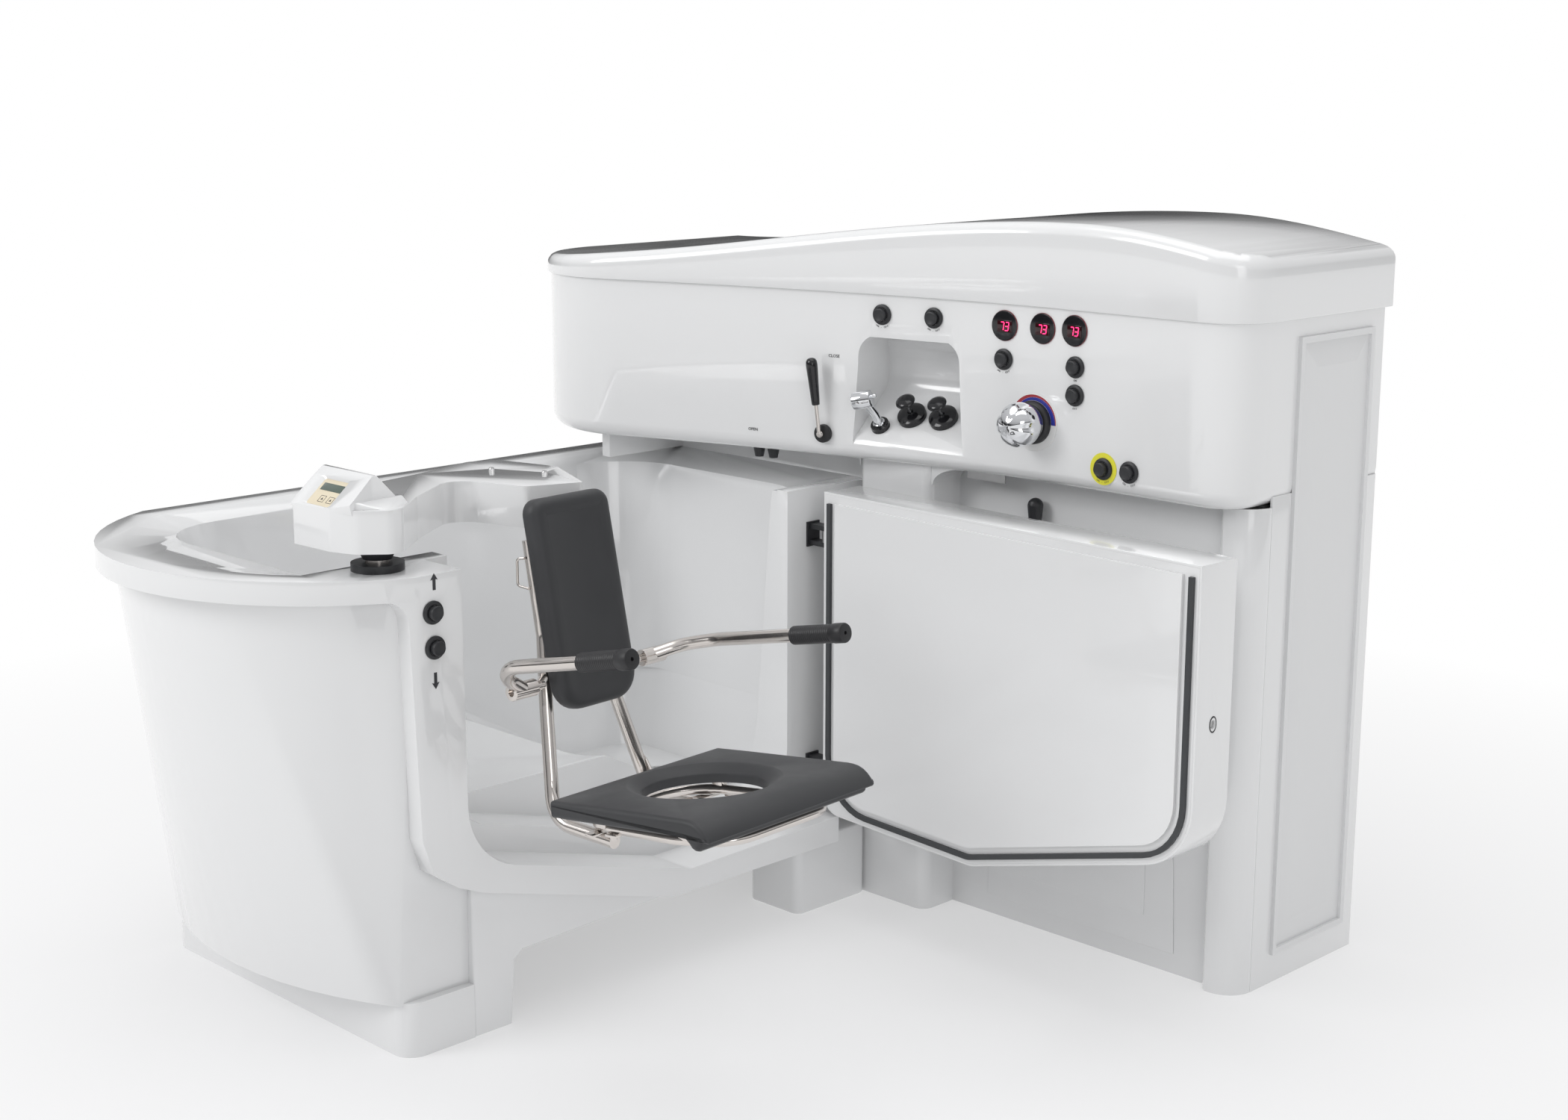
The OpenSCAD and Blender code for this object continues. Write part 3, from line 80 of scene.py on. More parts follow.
# Lift post, and the plane of the display face that climbs from the arm's front to the ridge
POST_X, POST_Y = -963.0, -1692.0
FACE_Y, FACE_Z, FACE_RISE, RIDGE_Z = -91.0, 1009.0, 0.85, 1066.0

# Chair: forward along its own X, its tubes, the tilted seat, the leaning back, the armrest pivots
CHAIR_X, CHAIR_Y, CHAIR_YAW = -634.0, -1381.0, 3.6
FRAME_TUBE, ARM_TUBE, LOW_TUBE_Z = 25.4, 25.0, 445.0
SEAT_Z, SEAT_TILT, SEAT_TUBE_DROP = 530.0, 6.6, -60.0
SEAT_Y, SEAT_W, HOLE_F, HOLE_STRETCH = -220.0, 424.0, 158.0, 1.126
BACK_F, BACK_Z, BACK_LEAN, BACK_T, BACK_H, BACK_HALF = -85.0, 640.0, 11.8, 34.0, 380.0, 94.0
PIVOT_F, PIVOT_Z, ARM_HALF = -125.0, 690.0, 230.0

# Printed marks, the strength of the room's light, and the camera with its picture in pixels
INK_THICK, INK_GAP = 0.25, 0.6
ROOM = 0.85
FOCAL_PX, PICTURE_PX, SENSOR = 3090.08, 2100.0, 36.0
EYE, AZIMUTH, PITCH, ROLL = (2319.4, -3962.0, 1768.1), 45.112, 12.306, 0.075

# The rightmost point is the free outer corner of the open door
X_MAX = (HINGE_X + (DOOR_U + DOOR_W) * math.cos(math.radians(DOOR_YAW))
         + DOOR_OUT * math.sin(math.radians(DOOR_YAW)))
# The model's own origin is the middle of its plan
SHIFT = Vector(((CONSOLE_W - X_MAX) / 2, (NOSE_R - NOSE_Y) / 2, 0.0))
ROW = Matrix.Translation(SHIFT * MM)


def place(x, y, z):
    """A point of the drawing, in the model's metres."""
    return (Vector((x, y, z)) + SHIFT) * MM


def shift_by(x, y, z):
    """Moves by millimetres."""
    return Matrix.Translation(Vector((x, y, z)) * MM)


def turn_by(axis, degrees):
    return Matrix.Rotation(math.radians(degrees), 4, axis)


# Turns a local +Z axis to local -Y
OUTWARD = turn_by("X", 90)
# Stands a local XY outline up in local YZ, so that it grows along local X
FROM_SIDE = Matrix(((0, 0, 1, 0), (1, 0, 0, 0), (0, 1, 0, 0), (0, 0, 0, 1)))


def front(x):
    """Depth of the console's front, bowed toward its left end."""
    t = max(0.0, (BOW_X - x) / BOW_L)
    return -CONSOLE_D - BOW * t ** 1.6


def rise(x):
    """Slope of the bowed front."""
    t = max(0.0, (BOW_X - x) / BOW_L)
    return 1.6 * BOW / BOW_L * t ** 0.6


def wave(x):
    """Height of the cap's top."""
    if x < CREST_X:
        return LEFT_H + (CREST_H - LEFT_H) / 2 * (
            1 - math.cos(math.pi * (x + CONSOLE_W) / (CREST_X + CONSOLE_W)))
    return CREST_H - FALL * (1 - math.cos(math.pi / 2 * (x - CREST_X) / -CREST_X))


def on_front(x, z):
    """Matrix of a control on the console front: local -Y points out."""
    return (Matrix.Translation(place(x, front(x) + 8, z))
            @ Matrix.Rotation(math.atan(rise(x)), 4, "Z"))


def on_pillar(y, z):
    """Matrix of a control on the tub's front pillar: local -Y points out."""
    return Matrix.Translation(place(TUB_X, y, z)) @ turn_by("Z", 90)


def at_chair():
    return Matrix.Translation(place(CHAIR_X, CHAIR_Y, 0)) @ turn_by("Z", CHAIR_YAW)


def on_seat():
    return at_chair() @ shift_by(0, 0, SEAT_Z) @ turn_by("Y", -SEAT_TILT)


def at_post():
    return Matrix.Translation(place(POST_X, POST_Y, 0))


def open_door():
    return Matrix.Translation(place(HINGE_X, HINGE_Y, 0)) @ turn_by("Z", -DOOR_YAW)


def on_face():
    """Local X along the arm's front, local Y up the display face, local Z out of it."""
    return (at_post() @ shift_by(0, FACE_Y, FACE_Z)
            @ Matrix.Rotation(math.atan(FACE_RISE), 4, "X"))


def on_slope(dx, up):
    """Matrix of a fitting on the niche's sloping floor: local Z points out of the floor."""
    a = math.radians(NICHE_SLOPE)
    return (on_front(*NICHE) @ shift_by(dx, up * math.cos(a), 4 + up * math.sin(a))
            @ turn_by("X", NICHE_SLOPE))


def arc(cx, cy, rx, ry, start, end, steps):
    """Points along an arc of an ellipse, its angles in degrees."""
    angles = [math.radians(start + (end - start) * k / steps) for k in range(steps + 1)]
    return [(cx + rx * math.cos(a), cy + ry * math.sin(a)) for a in angles]


# Finishes
def shader(name):
    mat = bpy.data.materials.new(name)
    mat.use_nodes = True
    nt = mat.node_tree
    return mat, nt, nt.nodes["Principled BSDF"]


def put(node, **values):
    """Sets inputs of a shader node, a name's spaces written as underscores."""
    for name, value in values.items():
        node.inputs[name.replace("_", " ")].default_value = value


def add_node(nt, kind, **values):
    node = nt.nodes.new("ShaderNode" + kind)
    put(node, **values)
    return node


def grain(nt, scale, detail=4.0, rough=0.55, stretch=(1, 1, 1)):
    """Noise on the piece's own coordinates, drawn out along an axis by a stretch."""
    tc = add_node(nt, "TexCoord")
    noise = add_node(nt, "TexNoise", Scale=scale, Detail=detail, Roughness=rough)
    mp = add_node(nt, "Mapping", Scale=stretch)
    nt.links.new(tc.outputs["Object"], mp.inputs["Vector"])
    nt.links.new(mp.outputs["Vector"], noise.inputs["Vector"])
    return noise


def spread(nt, source, lo, hi, frm=(0.3, 0.7)):
    """Maps a range of a value to another one."""
    mr = add_node(nt, "MapRange", From_Min=frm[0], From_Max=frm[1], To_Min=lo, To_Max=hi)
    nt.links.new(source, mr.inputs["Value"])
    return mr.outputs["Result"]


def tint(nt, source, dark, light, frm=(0.3, 0.7)):
    """Maps a range of a value to a blend of two colours."""
    ramp = add_node(nt, "ValToRGB")
    for stop, at, colour in zip(ramp.color_ramp.elements, frm, (dark, light)):
        stop.position, stop.color = at, (*colour, 1)
    nt.links.new(source, ramp.inputs["Fac"])
    return ramp.outputs["Color"]


def bumps(nt, p, layers):
    """Stacks bump nodes: (height socket, strength, distance in metres)."""
    last = None
    for height, strength, distance in layers:
        b = add_node(nt, "Bump", Strength=strength, Distance=distance)
        nt.links.new(height, b.inputs["Height"])
        if last:
            nt.links.new(last, b.inputs["Normal"])
        last = b.outputs["Normal"]
    nt.links.new(last, p.inputs["Normal"])


def finish_of(name, base, vary, rough, metal=0.0, scale=30.0, fine=1800.0, bump=0.05,
              dist=0.0001, coat=0.0, stretch=(1, 1, 1), sheen=0.0, swell=None):
    """A finish with a slow colour and gloss change and a fine grain, on it a broad swell if asked."""
    mat, nt, p = shader(name)
    slow = grain(nt, scale)
    fast = grain(nt, fine, 3.0, 0.6, stretch)
    lo = tuple(max(0.0, c * (1 - vary)) for c in base)
    hi = tuple(min(1.0, c * (1 + vary)) for c in base)
    nt.links.new(tint(nt, slow.outputs["Fac"], lo, hi), p.inputs["Base Color"])
    nt.links.new(spread(nt, slow.outputs["Fac"], rough[0], rough[1]), p.inputs["Roughness"])
    layers = [(fast.outputs["Fac"], bump, dist)]
    if swell:
        broad = grain(nt, swell[0], 2.0)
        layers.insert(0, (broad.outputs["Fac"], swell[1], swell[2]))
    bumps(nt, p, layers)
    put(p, Metallic=metal, Coat_Weight=coat, Coat_Roughness=0.035, Sheen_Weight=sheen)
    return mat


# Each has its colour, how much that varies, and its least and most roughness
gelcoat = finish_of("gelcoat_white", (0.80, 0.805, 0.81), 0.008, (0.16, 0.24), coat=1.0, scale=3.0,
                    fine=420.0, bump=0.025, dist=0.0003, swell=(14.0, 0.03, 0.002))
basin_coat = finish_of("gelcoat_basin", (0.79, 0.795, 0.80), 0.008, (0.15, 0.22), coat=1.0,
                       scale=3.0, fine=420.0, bump=0.02, dist=0.0003, swell=(12.0, 0.03, 0.002))
powder = finish_of("powder_coat_white", (0.77, 0.775, 0.78), 0.012, (0.34, 0.44), scale=5.0,
                   fine=1400.0, bump=0.10, dist=0.0002)
powder_back = finish_of("powder_coat_grey", (0.55, 0.56, 0.57), 0.02, (0.40, 0.50), scale=5.0,
                        fine=1400.0, bump=0.12, dist=0.0002)
niche_coat = finish_of("gelcoat_niche", (0.72, 0.73, 0.745), 0.01, (0.18, 0.26), coat=0.25,
                       scale=4.0, fine=500.0, bump=0.025, dist=0.0003)
polished = finish_of("polished_steel", (0.69, 0.65, 0.62), 0.03, (0.13, 0.22), metal=1.0,
                     scale=9.0, fine=2600.0, bump=0.015)
chrome = finish_of("chrome_plate", (0.74, 0.75, 0.77), 0.02, (0.04, 0.09), metal=1.0, scale=8.0,
                   fine=2200.0, bump=0.01)
brushed = finish_of("brushed_steel", (0.55, 0.55, 0.55), 0.05, (0.26, 0.38), metal=1.0,
                    scale=12.0, fine=700.0, bump=0.12, stretch=(1, 1, 14))
black_plastic = finish_of("black_plastic", (0.022, 0.023, 0.026), 0.12, (0.36, 0.48),
                          fine=2600.0, bump=0.14, dist=0.0002)
black_gloss = finish_of("black_gloss", (0.012, 0.012, 0.014), 0.1, (0.10, 0.16), scale=25.0,
                        fine=1500.0, bump=0.02)
pad_skin = finish_of("foam_skin", (0.030, 0.031, 0.034), 0.10, (0.46, 0.60), scale=10.0,
                     fine=1500.0, bump=0.35, dist=0.0004, swell=(55.0, 0.10, 0.001), sheen=0.05)
rubber = finish_of("rubber_grip", (0.016, 0.016, 0.018), 0.1, (0.38, 0.52), scale=40.0,
                   bump=0.22, dist=0.0003)
seal_rubber = finish_of("seal_rubber", (0.045, 0.048, 0.052), 0.1, (0.42, 0.55), fine=1500.0,
                        bump=0.2, dist=0.0003)
tank_plastic = finish_of("tank_plastic", (0.62, 0.68, 0.72), 0.03, (0.35, 0.48), scale=8.0,
                         fine=400.0, bump=0.12, dist=0.0004)
cream_film = finish_of("cream_film", (0.74, 0.66, 0.50), 0.02, (0.38, 0.46), scale=20.0, bump=0.08)
lcd_glass = finish_of("lcd_glass", (0.10, 0.13, 0.11), 0.06, (0.12, 0.18), fine=900.0, bump=0.02)
ink = finish_of("printed_ink", (0.03, 0.03, 0.035), 0.1, (0.35, 0.45), scale=60.0, fine=2400.0)
yellow_film = finish_of("yellow_film", (0.78, 0.74, 0.05), 0.03, (0.36, 0.44), bump=0.06)
red_film = finish_of("red_film", (0.35, 0.03, 0.04), 0.05, (0.30, 0.38))
blue_film = finish_of("blue_film", (0.02, 0.03, 0.30), 0.05, (0.30, 0.38))
red_rim = finish_of("red_rim", (0.22, 0.02, 0.03), 0.05, (0.25, 0.35))
window_red = finish_of("window_red", (0.030, 0.004, 0.006), 0.1, (0.08, 0.14), fine=1200.0,
                       bump=0.02)
plate_white = finish_of("plate_white", (0.80, 0.80, 0.80), 0.01, (0.30, 0.38), scale=20.0,
                        fine=1600.0)
digit_red = finish_of("digit_red", (0.6, 0.01, 0.04), 0.05, (0.4, 0.5), scale=40.0, fine=1500.0,
                      bump=0.03)


def light_up(mat, colour, strength):
    """Makes a finish glow for the camera alone, so that it casts no light."""
    nt = mat.node_tree
    p = nt.nodes["Principled BSDF"]
    put(p, Emission_Color=(*colour, 1))
    in_view = add_node(nt, "LightPath")
    power = add_node(nt, "Math")
    power.operation = "MULTIPLY"
    power.inputs[1].default_value = strength
    nt.links.new(in_view.outputs["Is Camera Ray"], power.inputs[0])
    nt.links.new(power.outputs["Value"], p.inputs["Emission Strength"])


light_up(digit_red, (1, 0.03, 0.16), 3.0)

CAD_FINISH = {
    gelcoat: "console_casing console_cap corner_post tub_apron side_plinth door_outer door_inner "
             "arm_casing scale_head mixer_ring",
    basin_coat: "tub_basin",
    niche_coat: "niche_insert",
    powder: "side_panel access_panel recess_wall",
    powder_back: "rear_panels",
    brushed: "inner_frame hinge_strap latch_bolt lift_sleeve arm_beam chair_hanger floor_drain "
             "casing_screws",
    polished: "lift_ram back_frame seat_loop chair_fittings armrest_near armrest_far lever_arm",
    chrome: "mixer_knob hand_spray",
    black_plastic: "lift_disc ram_cone button_bezels hand_spray_button air_button tub_fill_button "
                   "reservoir_fill_button reservoir_auto_button disinfect_button rinse_button "
                   "lift_up_button lift_down_button niche_sockets oil_pump shampoo_pump "
                   "filler_nozzles drain_lever hinge_pins lever_grip",
    black_gloss: "displays",
    rubber: "grip_near grip_far",
    seal_rubber: "door_gasket",
    tank_plastic: "reservoir_tank",
    cream_film: "scale_panel",
    pad_skin: "back_pad seat_pad",
}
for mat, names in CAD_FINISH.items():
    for n in names.split():
        NODES[n].data.materials.clear()
        NODES[n].data.materials.append(mat)


# Building helpers
def body_of(node):
    return NODES[node]["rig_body"]


def keep(name, bm, mat, body, stands_for, sharp=35.0):
    """Turns a finished bmesh into a piece that rides on its body."""
    me = bpy.data.meshes.new(name)
    bm.to_mesh(me)
    bm.free()
    me.materials.append(mat)
    for p in me.polygons:
        p.use_smooth = True
    me.set_sharp_from_angle(angle=math.radians(sharp))
    ob = bpy.data.objects.new(name, me)
    bpy.context.scene.collection.objects.link(ob)
    if stands_for:
        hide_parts(*stands_for)
    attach(ob, body)
    return ob


def make_flats_whole(bm, degrees=0.6):
    """Joins the faces that lie in one plane."""
    bmesh.ops.dissolve_limit(bm, angle_limit=math.radians(degrees), use_dissolve_boundaries=False,
                             verts=bm.verts, edges=bm.edges, delimit=set())


def merged(node):
    """A bmesh copy of a CAD node with its triangles joined and flats made whole."""
    bm = bmesh.new()
    bm.from_mesh(NODES[node].data)
    bmesh.ops.remove_doubles(bm, verts=bm.verts, dist=0.00002)
    make_flats_whole(bm)
    return bm


def corners(edges, degrees):
    """Those of the edges whose two faces meet at more than an angle."""
    return [e for e in edges if e.calc_face_angle(0) > math.radians(degrees)]


def bevel(bm, edges, width, segments, clamp=False, slide=False):
    """Rounds edges by a width in millimetres and returns the new corners."""
    return bmesh.ops.bevel(bm, geom=edges, offset=width * MM, segments=segments, profile=0.5,
                           affect="EDGES", clamp_overlap=clamp, loop_slide=slide,
                           material=-1)["verts"]


def soften(bm, width, segments=3, degrees=40.0):
    """Rounds every sharp edge of a moulding."""
    bevel(bm, corners(bm.edges, degrees), width, segments, clamp=True, slide=True)


def softened(node, name, mat, width):
    """The CAD node itself with rounded edges."""
    bm = merged(node)
    soften(bm, width)
    keep(name, bm, mat, body_of(node), [node])


# Shapes made by operators
def turned(bm, profile, matrix, steps=48):
    """Spins a profile of (radius, height) in millimetres about local Z."""
    new = [bm.verts.new((r * MM, 0, h * MM)) for r, h in profile]
    edges = [bm.edges.new(p) for p in zip(new, new[1:])]
    before = set(bm.verts) - set(new)
    bmesh.ops.spin(bm, geom=new + edges, cent=(0, 0, 0), axis=(0, 0, 1), angle=math.tau,
                   steps=steps, use_merge=True, use_duplicate=False)
    made = [v for v in bm.verts if v not in before]
    bmesh.ops.remove_doubles(bm, verts=made, dist=0.000001)
    made = [v for v in bm.verts if v not in before]
    bmesh.ops.recalc_face_normals(bm, faces=list({f for v in made for f in v.link_faces}))
    bmesh.ops.transform(bm, matrix=matrix, verts=made)


def block(bm, lo, hi, matrix, round_mm=0.0, segments=3, upright_mm=0.0):
    """A box between two corners in millimetres, its upright edges or all of its edges rounded."""
    made = bmesh.ops.create_cube(bm, size=1.0)["verts"]
    lo, hi = Vector(lo), Vector(hi)
    bmesh.ops.scale(bm, vec=(hi - lo) * MM, verts=made)
    bmesh.ops.translate(bm, vec=(hi + lo) / 2 * MM, verts=made)
    if upright_mm:
        edges = [e for e in {e for v in made for e in v.link_edges}
                 if abs((e.verts[0].co - e.verts[1].co).normalized().z) > 0.9]
        new = bevel(bm, edges, upright_mm, 6, clamp=True)
        made = list({v for v in made if v.is_valid} | set(new))
    if round_mm:
        edges = corners({e for v in made for e in v.link_edges}, 50)
        new = bevel(bm, edges, round_mm, segments, clamp=True)
        made = list({v for v in made if v.is_valid} | set(new))
    bmesh.ops.transform(bm, matrix=matrix, verts=made)
    return made


def plate(bm, outline, z0, z1, matrix):
    """An outline in millimetres raised from z0 to z1 along local Z."""
    base = [bm.verts.new((x * MM, y * MM, z0 * MM)) for x, y in outline]
    face = bm.faces.new(base)
    face.normal_update()
    top = bmesh.ops.extrude_face_region(bm, geom=[face])["geom"]
    new = [v for v in top if isinstance(v, bmesh.types.BMVert)]
    bmesh.ops.translate(bm, vec=(0, 0, (z1 - z0) * MM), verts=new)
    made = base + new
    bmesh.ops.recalc_face_normals(bm, faces=list({f for v in made for f in v.link_faces}))
    bmesh.ops.transform(bm, matrix=matrix, verts=made)


def hull_of(points, matrix):
    """A convex solid round some points in millimetres."""
    bm = bmesh.new()
    new = [bm.verts.new(matrix @ (Vector(p) * MM)) for p in points]
    bmesh.ops.convex_hull(bm, input=new)
    make_flats_whole(bm, 0.8)
    bmesh.ops.recalc_face_normals(bm, faces=bm.faces)
    return bm


def bent(points, radius, closed=False):
    """A path of straight lengths joined by arcs, in millimetres."""
    pts = [Vector(p) for p in points]
    out = []
    for i, b in enumerate(pts):
        if not closed and i in (0, len(pts) - 1):
            out.append(b)
            continue
        u, v = pts[i - 1] - b, pts[(i + 1) % len(pts)] - b
        reach = min(u.length, v.length) * 0.48
        u.normalize()
        v.normalize()
        half = u.angle(v) / 2
        if half > math.pi / 2 - 0.02:
            out.append(b)
            continue
        t = min(radius / math.tan(half), reach)
        r = t * math.tan(half)
        c = b + (u + v).normalized() * (r / math.sin(half))
        p, q = (b + u * t - c).normalized(), (b + v * t - c).normalized()
        out += [c + p.slerp(q, k / 8) * r for k in range(9)]
    return out


def evaluated(ob):
    """The mesh that an object's curve or modifiers give."""
    return bpy.data.meshes.new_from_object(
        ob.evaluated_get(bpy.context.evaluated_depsgraph_get()))


def add_curve(bm, curve):
    """Adds the surface of a curve, which is used up, and returns the new corners."""
    ob = bpy.data.objects.new(curve.name, curve)
    bpy.context.scene.collection.objects.link(ob)
    me = evaluated(ob)
    old = set(bm.verts)
    bm.from_mesh(me)
    bpy.data.objects.remove(ob)
    bpy.data.curves.remove(curve)
    bpy.data.meshes.remove(me)
    return [v for v in bm.verts if v not in old]


def tube(bm, points, d, matrix, radius=45.0, closed=False):
    """Sweeps a round tube of diameter d along a bent path."""
    curve = bpy.data.curves.new("route", "CURVE")
    curve.dimensions = "3D"
    route = bent(points, radius, closed)
    spline = curve.splines.new("POLY")
    spline.points.add(len(route) - 1)
    for p, co in zip(spline.points, route):
        p.co = (*(matrix @ (co * MM)), 1)
    spline.use_cyclic_u = closed
    curve.bevel_depth = d / 2 * MM
    curve.bevel_resolution = 7
    curve.use_fill_caps = not closed
    bmesh.ops.remove_doubles(bm, verts=add_curve(bm, curve), dist=0.000005)


def lettering(bm, words, size, matrix):
    """Flat raised letters standing on local XY, centred."""
    curve = bpy.data.curves.new("words", "FONT")
    curve.body = words
    curve.size = size * MM
    curve.align_x = "CENTER"
    curve.align_y = "CENTER"
    curve.extrude = INK_THICK / 2 * MM
    curve.resolution_u = 2
    bmesh.ops.transform(bm, matrix=matrix, verts=add_curve(bm, curve))


def combined(one, other, operation):
    """Boolean of two bmeshes, both used up."""
    obs = []
    for bm in (one, other):
        me = bpy.data.meshes.new("solid")
        bm.to_mesh(me)
        bm.free()
        ob = bpy.data.objects.new("solid", me)
        bpy.context.scene.collection.objects.link(ob)
        obs.append(ob)
    mod = obs[0].modifiers.new("join", "BOOLEAN")
    mod.operation = operation
    mod.solver = "EXACT"
    mod.object = obs[1]
    me = evaluated(obs[0])
    out = bmesh.new()
    out.from_mesh(me)
    for ob in obs:
        bpy.data.objects.remove(ob)
    bpy.data.meshes.remove(me)
    bmesh.ops.remove_doubles(out, verts=out.verts, dist=0.000005)
    return out


# Shells that are the CAD nodes with rounded edges
softened("door_outer", "door_shell", gelcoat, 6)
softened("access_panel", "access_cover", powder, 1.5)
softened("tub_apron", "apron", gelcoat, 5)
softened("side_plinth", "plinth", gelcoat, 5)
softened("corner_post", "post_moulding", gelcoat, 2)


def arm_and_head():
    """Arm casing and display head as one moulding, with the sunk display panel."""
    post = at_post()
    head = hull_of([
        (-123.5, -91.5, 1004), (-15, -87.5, 1004), (34, -73, 1004), (34, 40, 1004),
        (-140, 40, 1004), (-122, -91.5, 1030), (33, -80, 1040), (-120, -60, RIDGE_Z),
        (29, -60, RIDGE_Z), (29, -17, RIDGE_Z), (-122, -17, RIDGE_Z)], post)
    # The arm's top swells up to the foot of the head's end face
    skirt = hull_of([
        (20, -66, 1019), (34, -66, 1024), (35, -60, 1025), (35, 32, 1025), (20, 32, 1025),
        (10, -77, 1009.5), (36, -65, 1009.5), (69, -25, 1009.5), (65, 3, 1009.5),
        (40, 42, 1009.5), (10, 46, 1009.5)], post)
    bm = combined(merged("arm_casing"), head, "UNION")
    bm = combined(bm, skirt, "UNION")
    # Everything in front of the display face is cut away
    ahead = bmesh.new()
    low_y, high_z = -200, 1200
    plate(ahead, [(low_y, FACE_Z + (FACE_Y - low_y) * -FACE_RISE),
                  (FACE_Y + (high_z - FACE_Z) / FACE_RISE, high_z), (low_y, high_z)],
          -300, 200, post @ FROM_SIDE)
    bm = combined(bm, ahead, "DIFFERENCE")
    make_flats_whole(bm)
    soften(bm, 5, 4, 38)
    pocket = bmesh.new()
    block(pocket, (-91, 8, -4.6), (-18, 66, 1.0), Matrix(), 0, 3, 6)
    middle, flare = Vector((-54.5, 37)) * MM, 0.10
    for v in pocket.verts:
        if v.co.z > 0:
            v.co.xy += (v.co.xy - middle) * flare
    bmesh.ops.transform(pocket, matrix=on_face(), verts=pocket.verts)
    bm = combined(bm, pocket, "DIFFERENCE")
    keep("arm_and_head_shell", bm, gelcoat, body_of("arm_casing"), ["arm_casing", "scale_head"],
         32)
    bm = bmesh.new()
    block(bm, (-90.6, 8.4, -5.2), (-18.4, 65.6, -4.2), on_face(), 0, 3, 5.6)
    keep("scale_face", bm, cream_film, body_of("scale_panel"), ["scale_panel"], 30)
    bm = bmesh.new()
    block(bm, (-83, 41, -4.4), (-22, 57, -3.6), on_face(), 0.3, 2)
    keep("scale_lcd", bm, lcd_glass, body_of("scale_panel"), (), 30)
    bm = bmesh.new()
    low, high, line = 16, 30.4, 0.8
    for x, end in ((-65, -49), (-40, -24)):
        for lo, hi in (((x, low), (end, low + line)), ((x, high - line), (end, high)),
                       ((x, low), (x + line, high)), ((end - line, low), (end, high))):
            block(bm, (*lo, -4.25), (*hi, -4.0), on_face())
        plate(bm, [(x + 5, 21), (x + 11, 21), (x + 8, 26)], -4.25, -4.0, on_face())
    keep("scale_keys", bm, ink, body_of("scale_panel"), (), 30)


def rim_outline():
    """Plan of the tub rim, with the facets of the CAD's nose arc."""
    starts = []
    for x in (TUB_FAR, TUB_X):
        y = -math.sqrt(NOSE_R ** 2 - (x - NOSE_X) ** 2)
        starts.append(math.degrees(math.atan2(y, x - NOSE_X)))
    far, near = (arc(NOSE_X, NOSE_Y, NOSE_R, NOSE_R, a, b, 11)
                 for a, b in ((starts[0], -90), (-90, starts[1])))
    return [(TUB_X, TUB_Y), (TUB_FAR, TUB_Y)] + far + near[1:]


def basin():
    """The CAD basin with the rounded web where the rim band turns down into the pillar."""
    band = RIM_H - RIM_BAND
    edge, web_w, web_h = -1697.0, 34.0, 42.0
    outline = [(-1650, band + 0.5), (edge - web_w, band + 0.5)]
    outline += arc(edge - web_w, band - web_h, web_w, web_h, 90, 0, 8)
    outline += [(edge + 10, 414), (edge + 31, 350), (-1614, 313), (-1600, 330)]
    web = bmesh.new()
    plate(web, outline, TUB_X - 52, TUB_X + 12, ROW @ FROM_SIDE)
    drum = bmesh.new()
    plate(drum, rim_outline(), 250, RIM_H + 6, ROW)
    web = combined(web, drum, "INTERSECT")
    bm = combined(merged("tub_basin"), web, "UNION")
    make_flats_whole(bm)
    soften(bm, 5)
    keep("basin_moulding", bm, basin_coat, "fixed", ["tub_basin"])


arm_and_head()
basin()


# Chair
def back_tubes():
    """Two bent uprights with their gussets, pivots and cross bars, and studs to the back pad."""
    bm = bmesh.new()
    m = at_chair()
    low = LOW_TUBE_Z
    for s in (-1, 1):
        tube(bm, [(60, s * 121, low), (-95, s * 120, low + 2), (-150, s * 82, 640),
                  (-176, s * 62, 760), (-208, s * 62, 930)], FRAME_TUBE, m, 60)
        tube(bm, [(-108, s * 110, 520), (-100, s * 116, 506), (-72, s * 121, low + 12),
                  (-60, s * 121, low + 10)], 6, m, 10)
        tube(bm, [(-162, s * 74, PIVOT_Z), (PIVOT_F, s * 122, PIVOT_Z)], 18, m)
        tube(bm, [(PIVOT_F, s * 110, PIVOT_Z), (PIVOT_F, s * 176, PIVOT_Z)], 14, m)
    lean = math.radians(BACK_LEAN)
    for z in (715, 900):
        f = -150 - (z - 640) * 26 / 120 if z < 760 else -176 - (z - 760) * 32 / 170
        tube(bm, [(f, -66, z), (f, 66, z)], 20, m)
        pad_rear = BACK_F - (z - BACK_Z) * math.tan(lean) - BACK_T / math.cos(lean)
        for s in (-1, 1):
            tube(bm, [(f, s * 30, z), (pad_rear - 1.6, s * 30, z)], 12, m)
    keep("back_tubes", bm, polished, "chair", ["back_frame"], 40)


def seat_tubes():
    """The loop under the seat with four blocks that hold the pad."""
    bm = bmesh.new()
    z = SEAT_TUBE_DROP
    tube(bm, [(-20, -140, z), (225, -150, z), (336, -128, z), (336, 128, z), (225, 150, z),
              (-20, 140, z)], 18, on_seat(), 90, closed=True)
    for s in (-1, 1):
        for x in (40, 238):
            block(bm, (x, s * 146 - 8, z), (x + 24, s * 146 + 8, z + 29), on_seat(), 2)
    keep("seat_tube_loop", bm, polished, "chair", ["seat_loop"], 40)


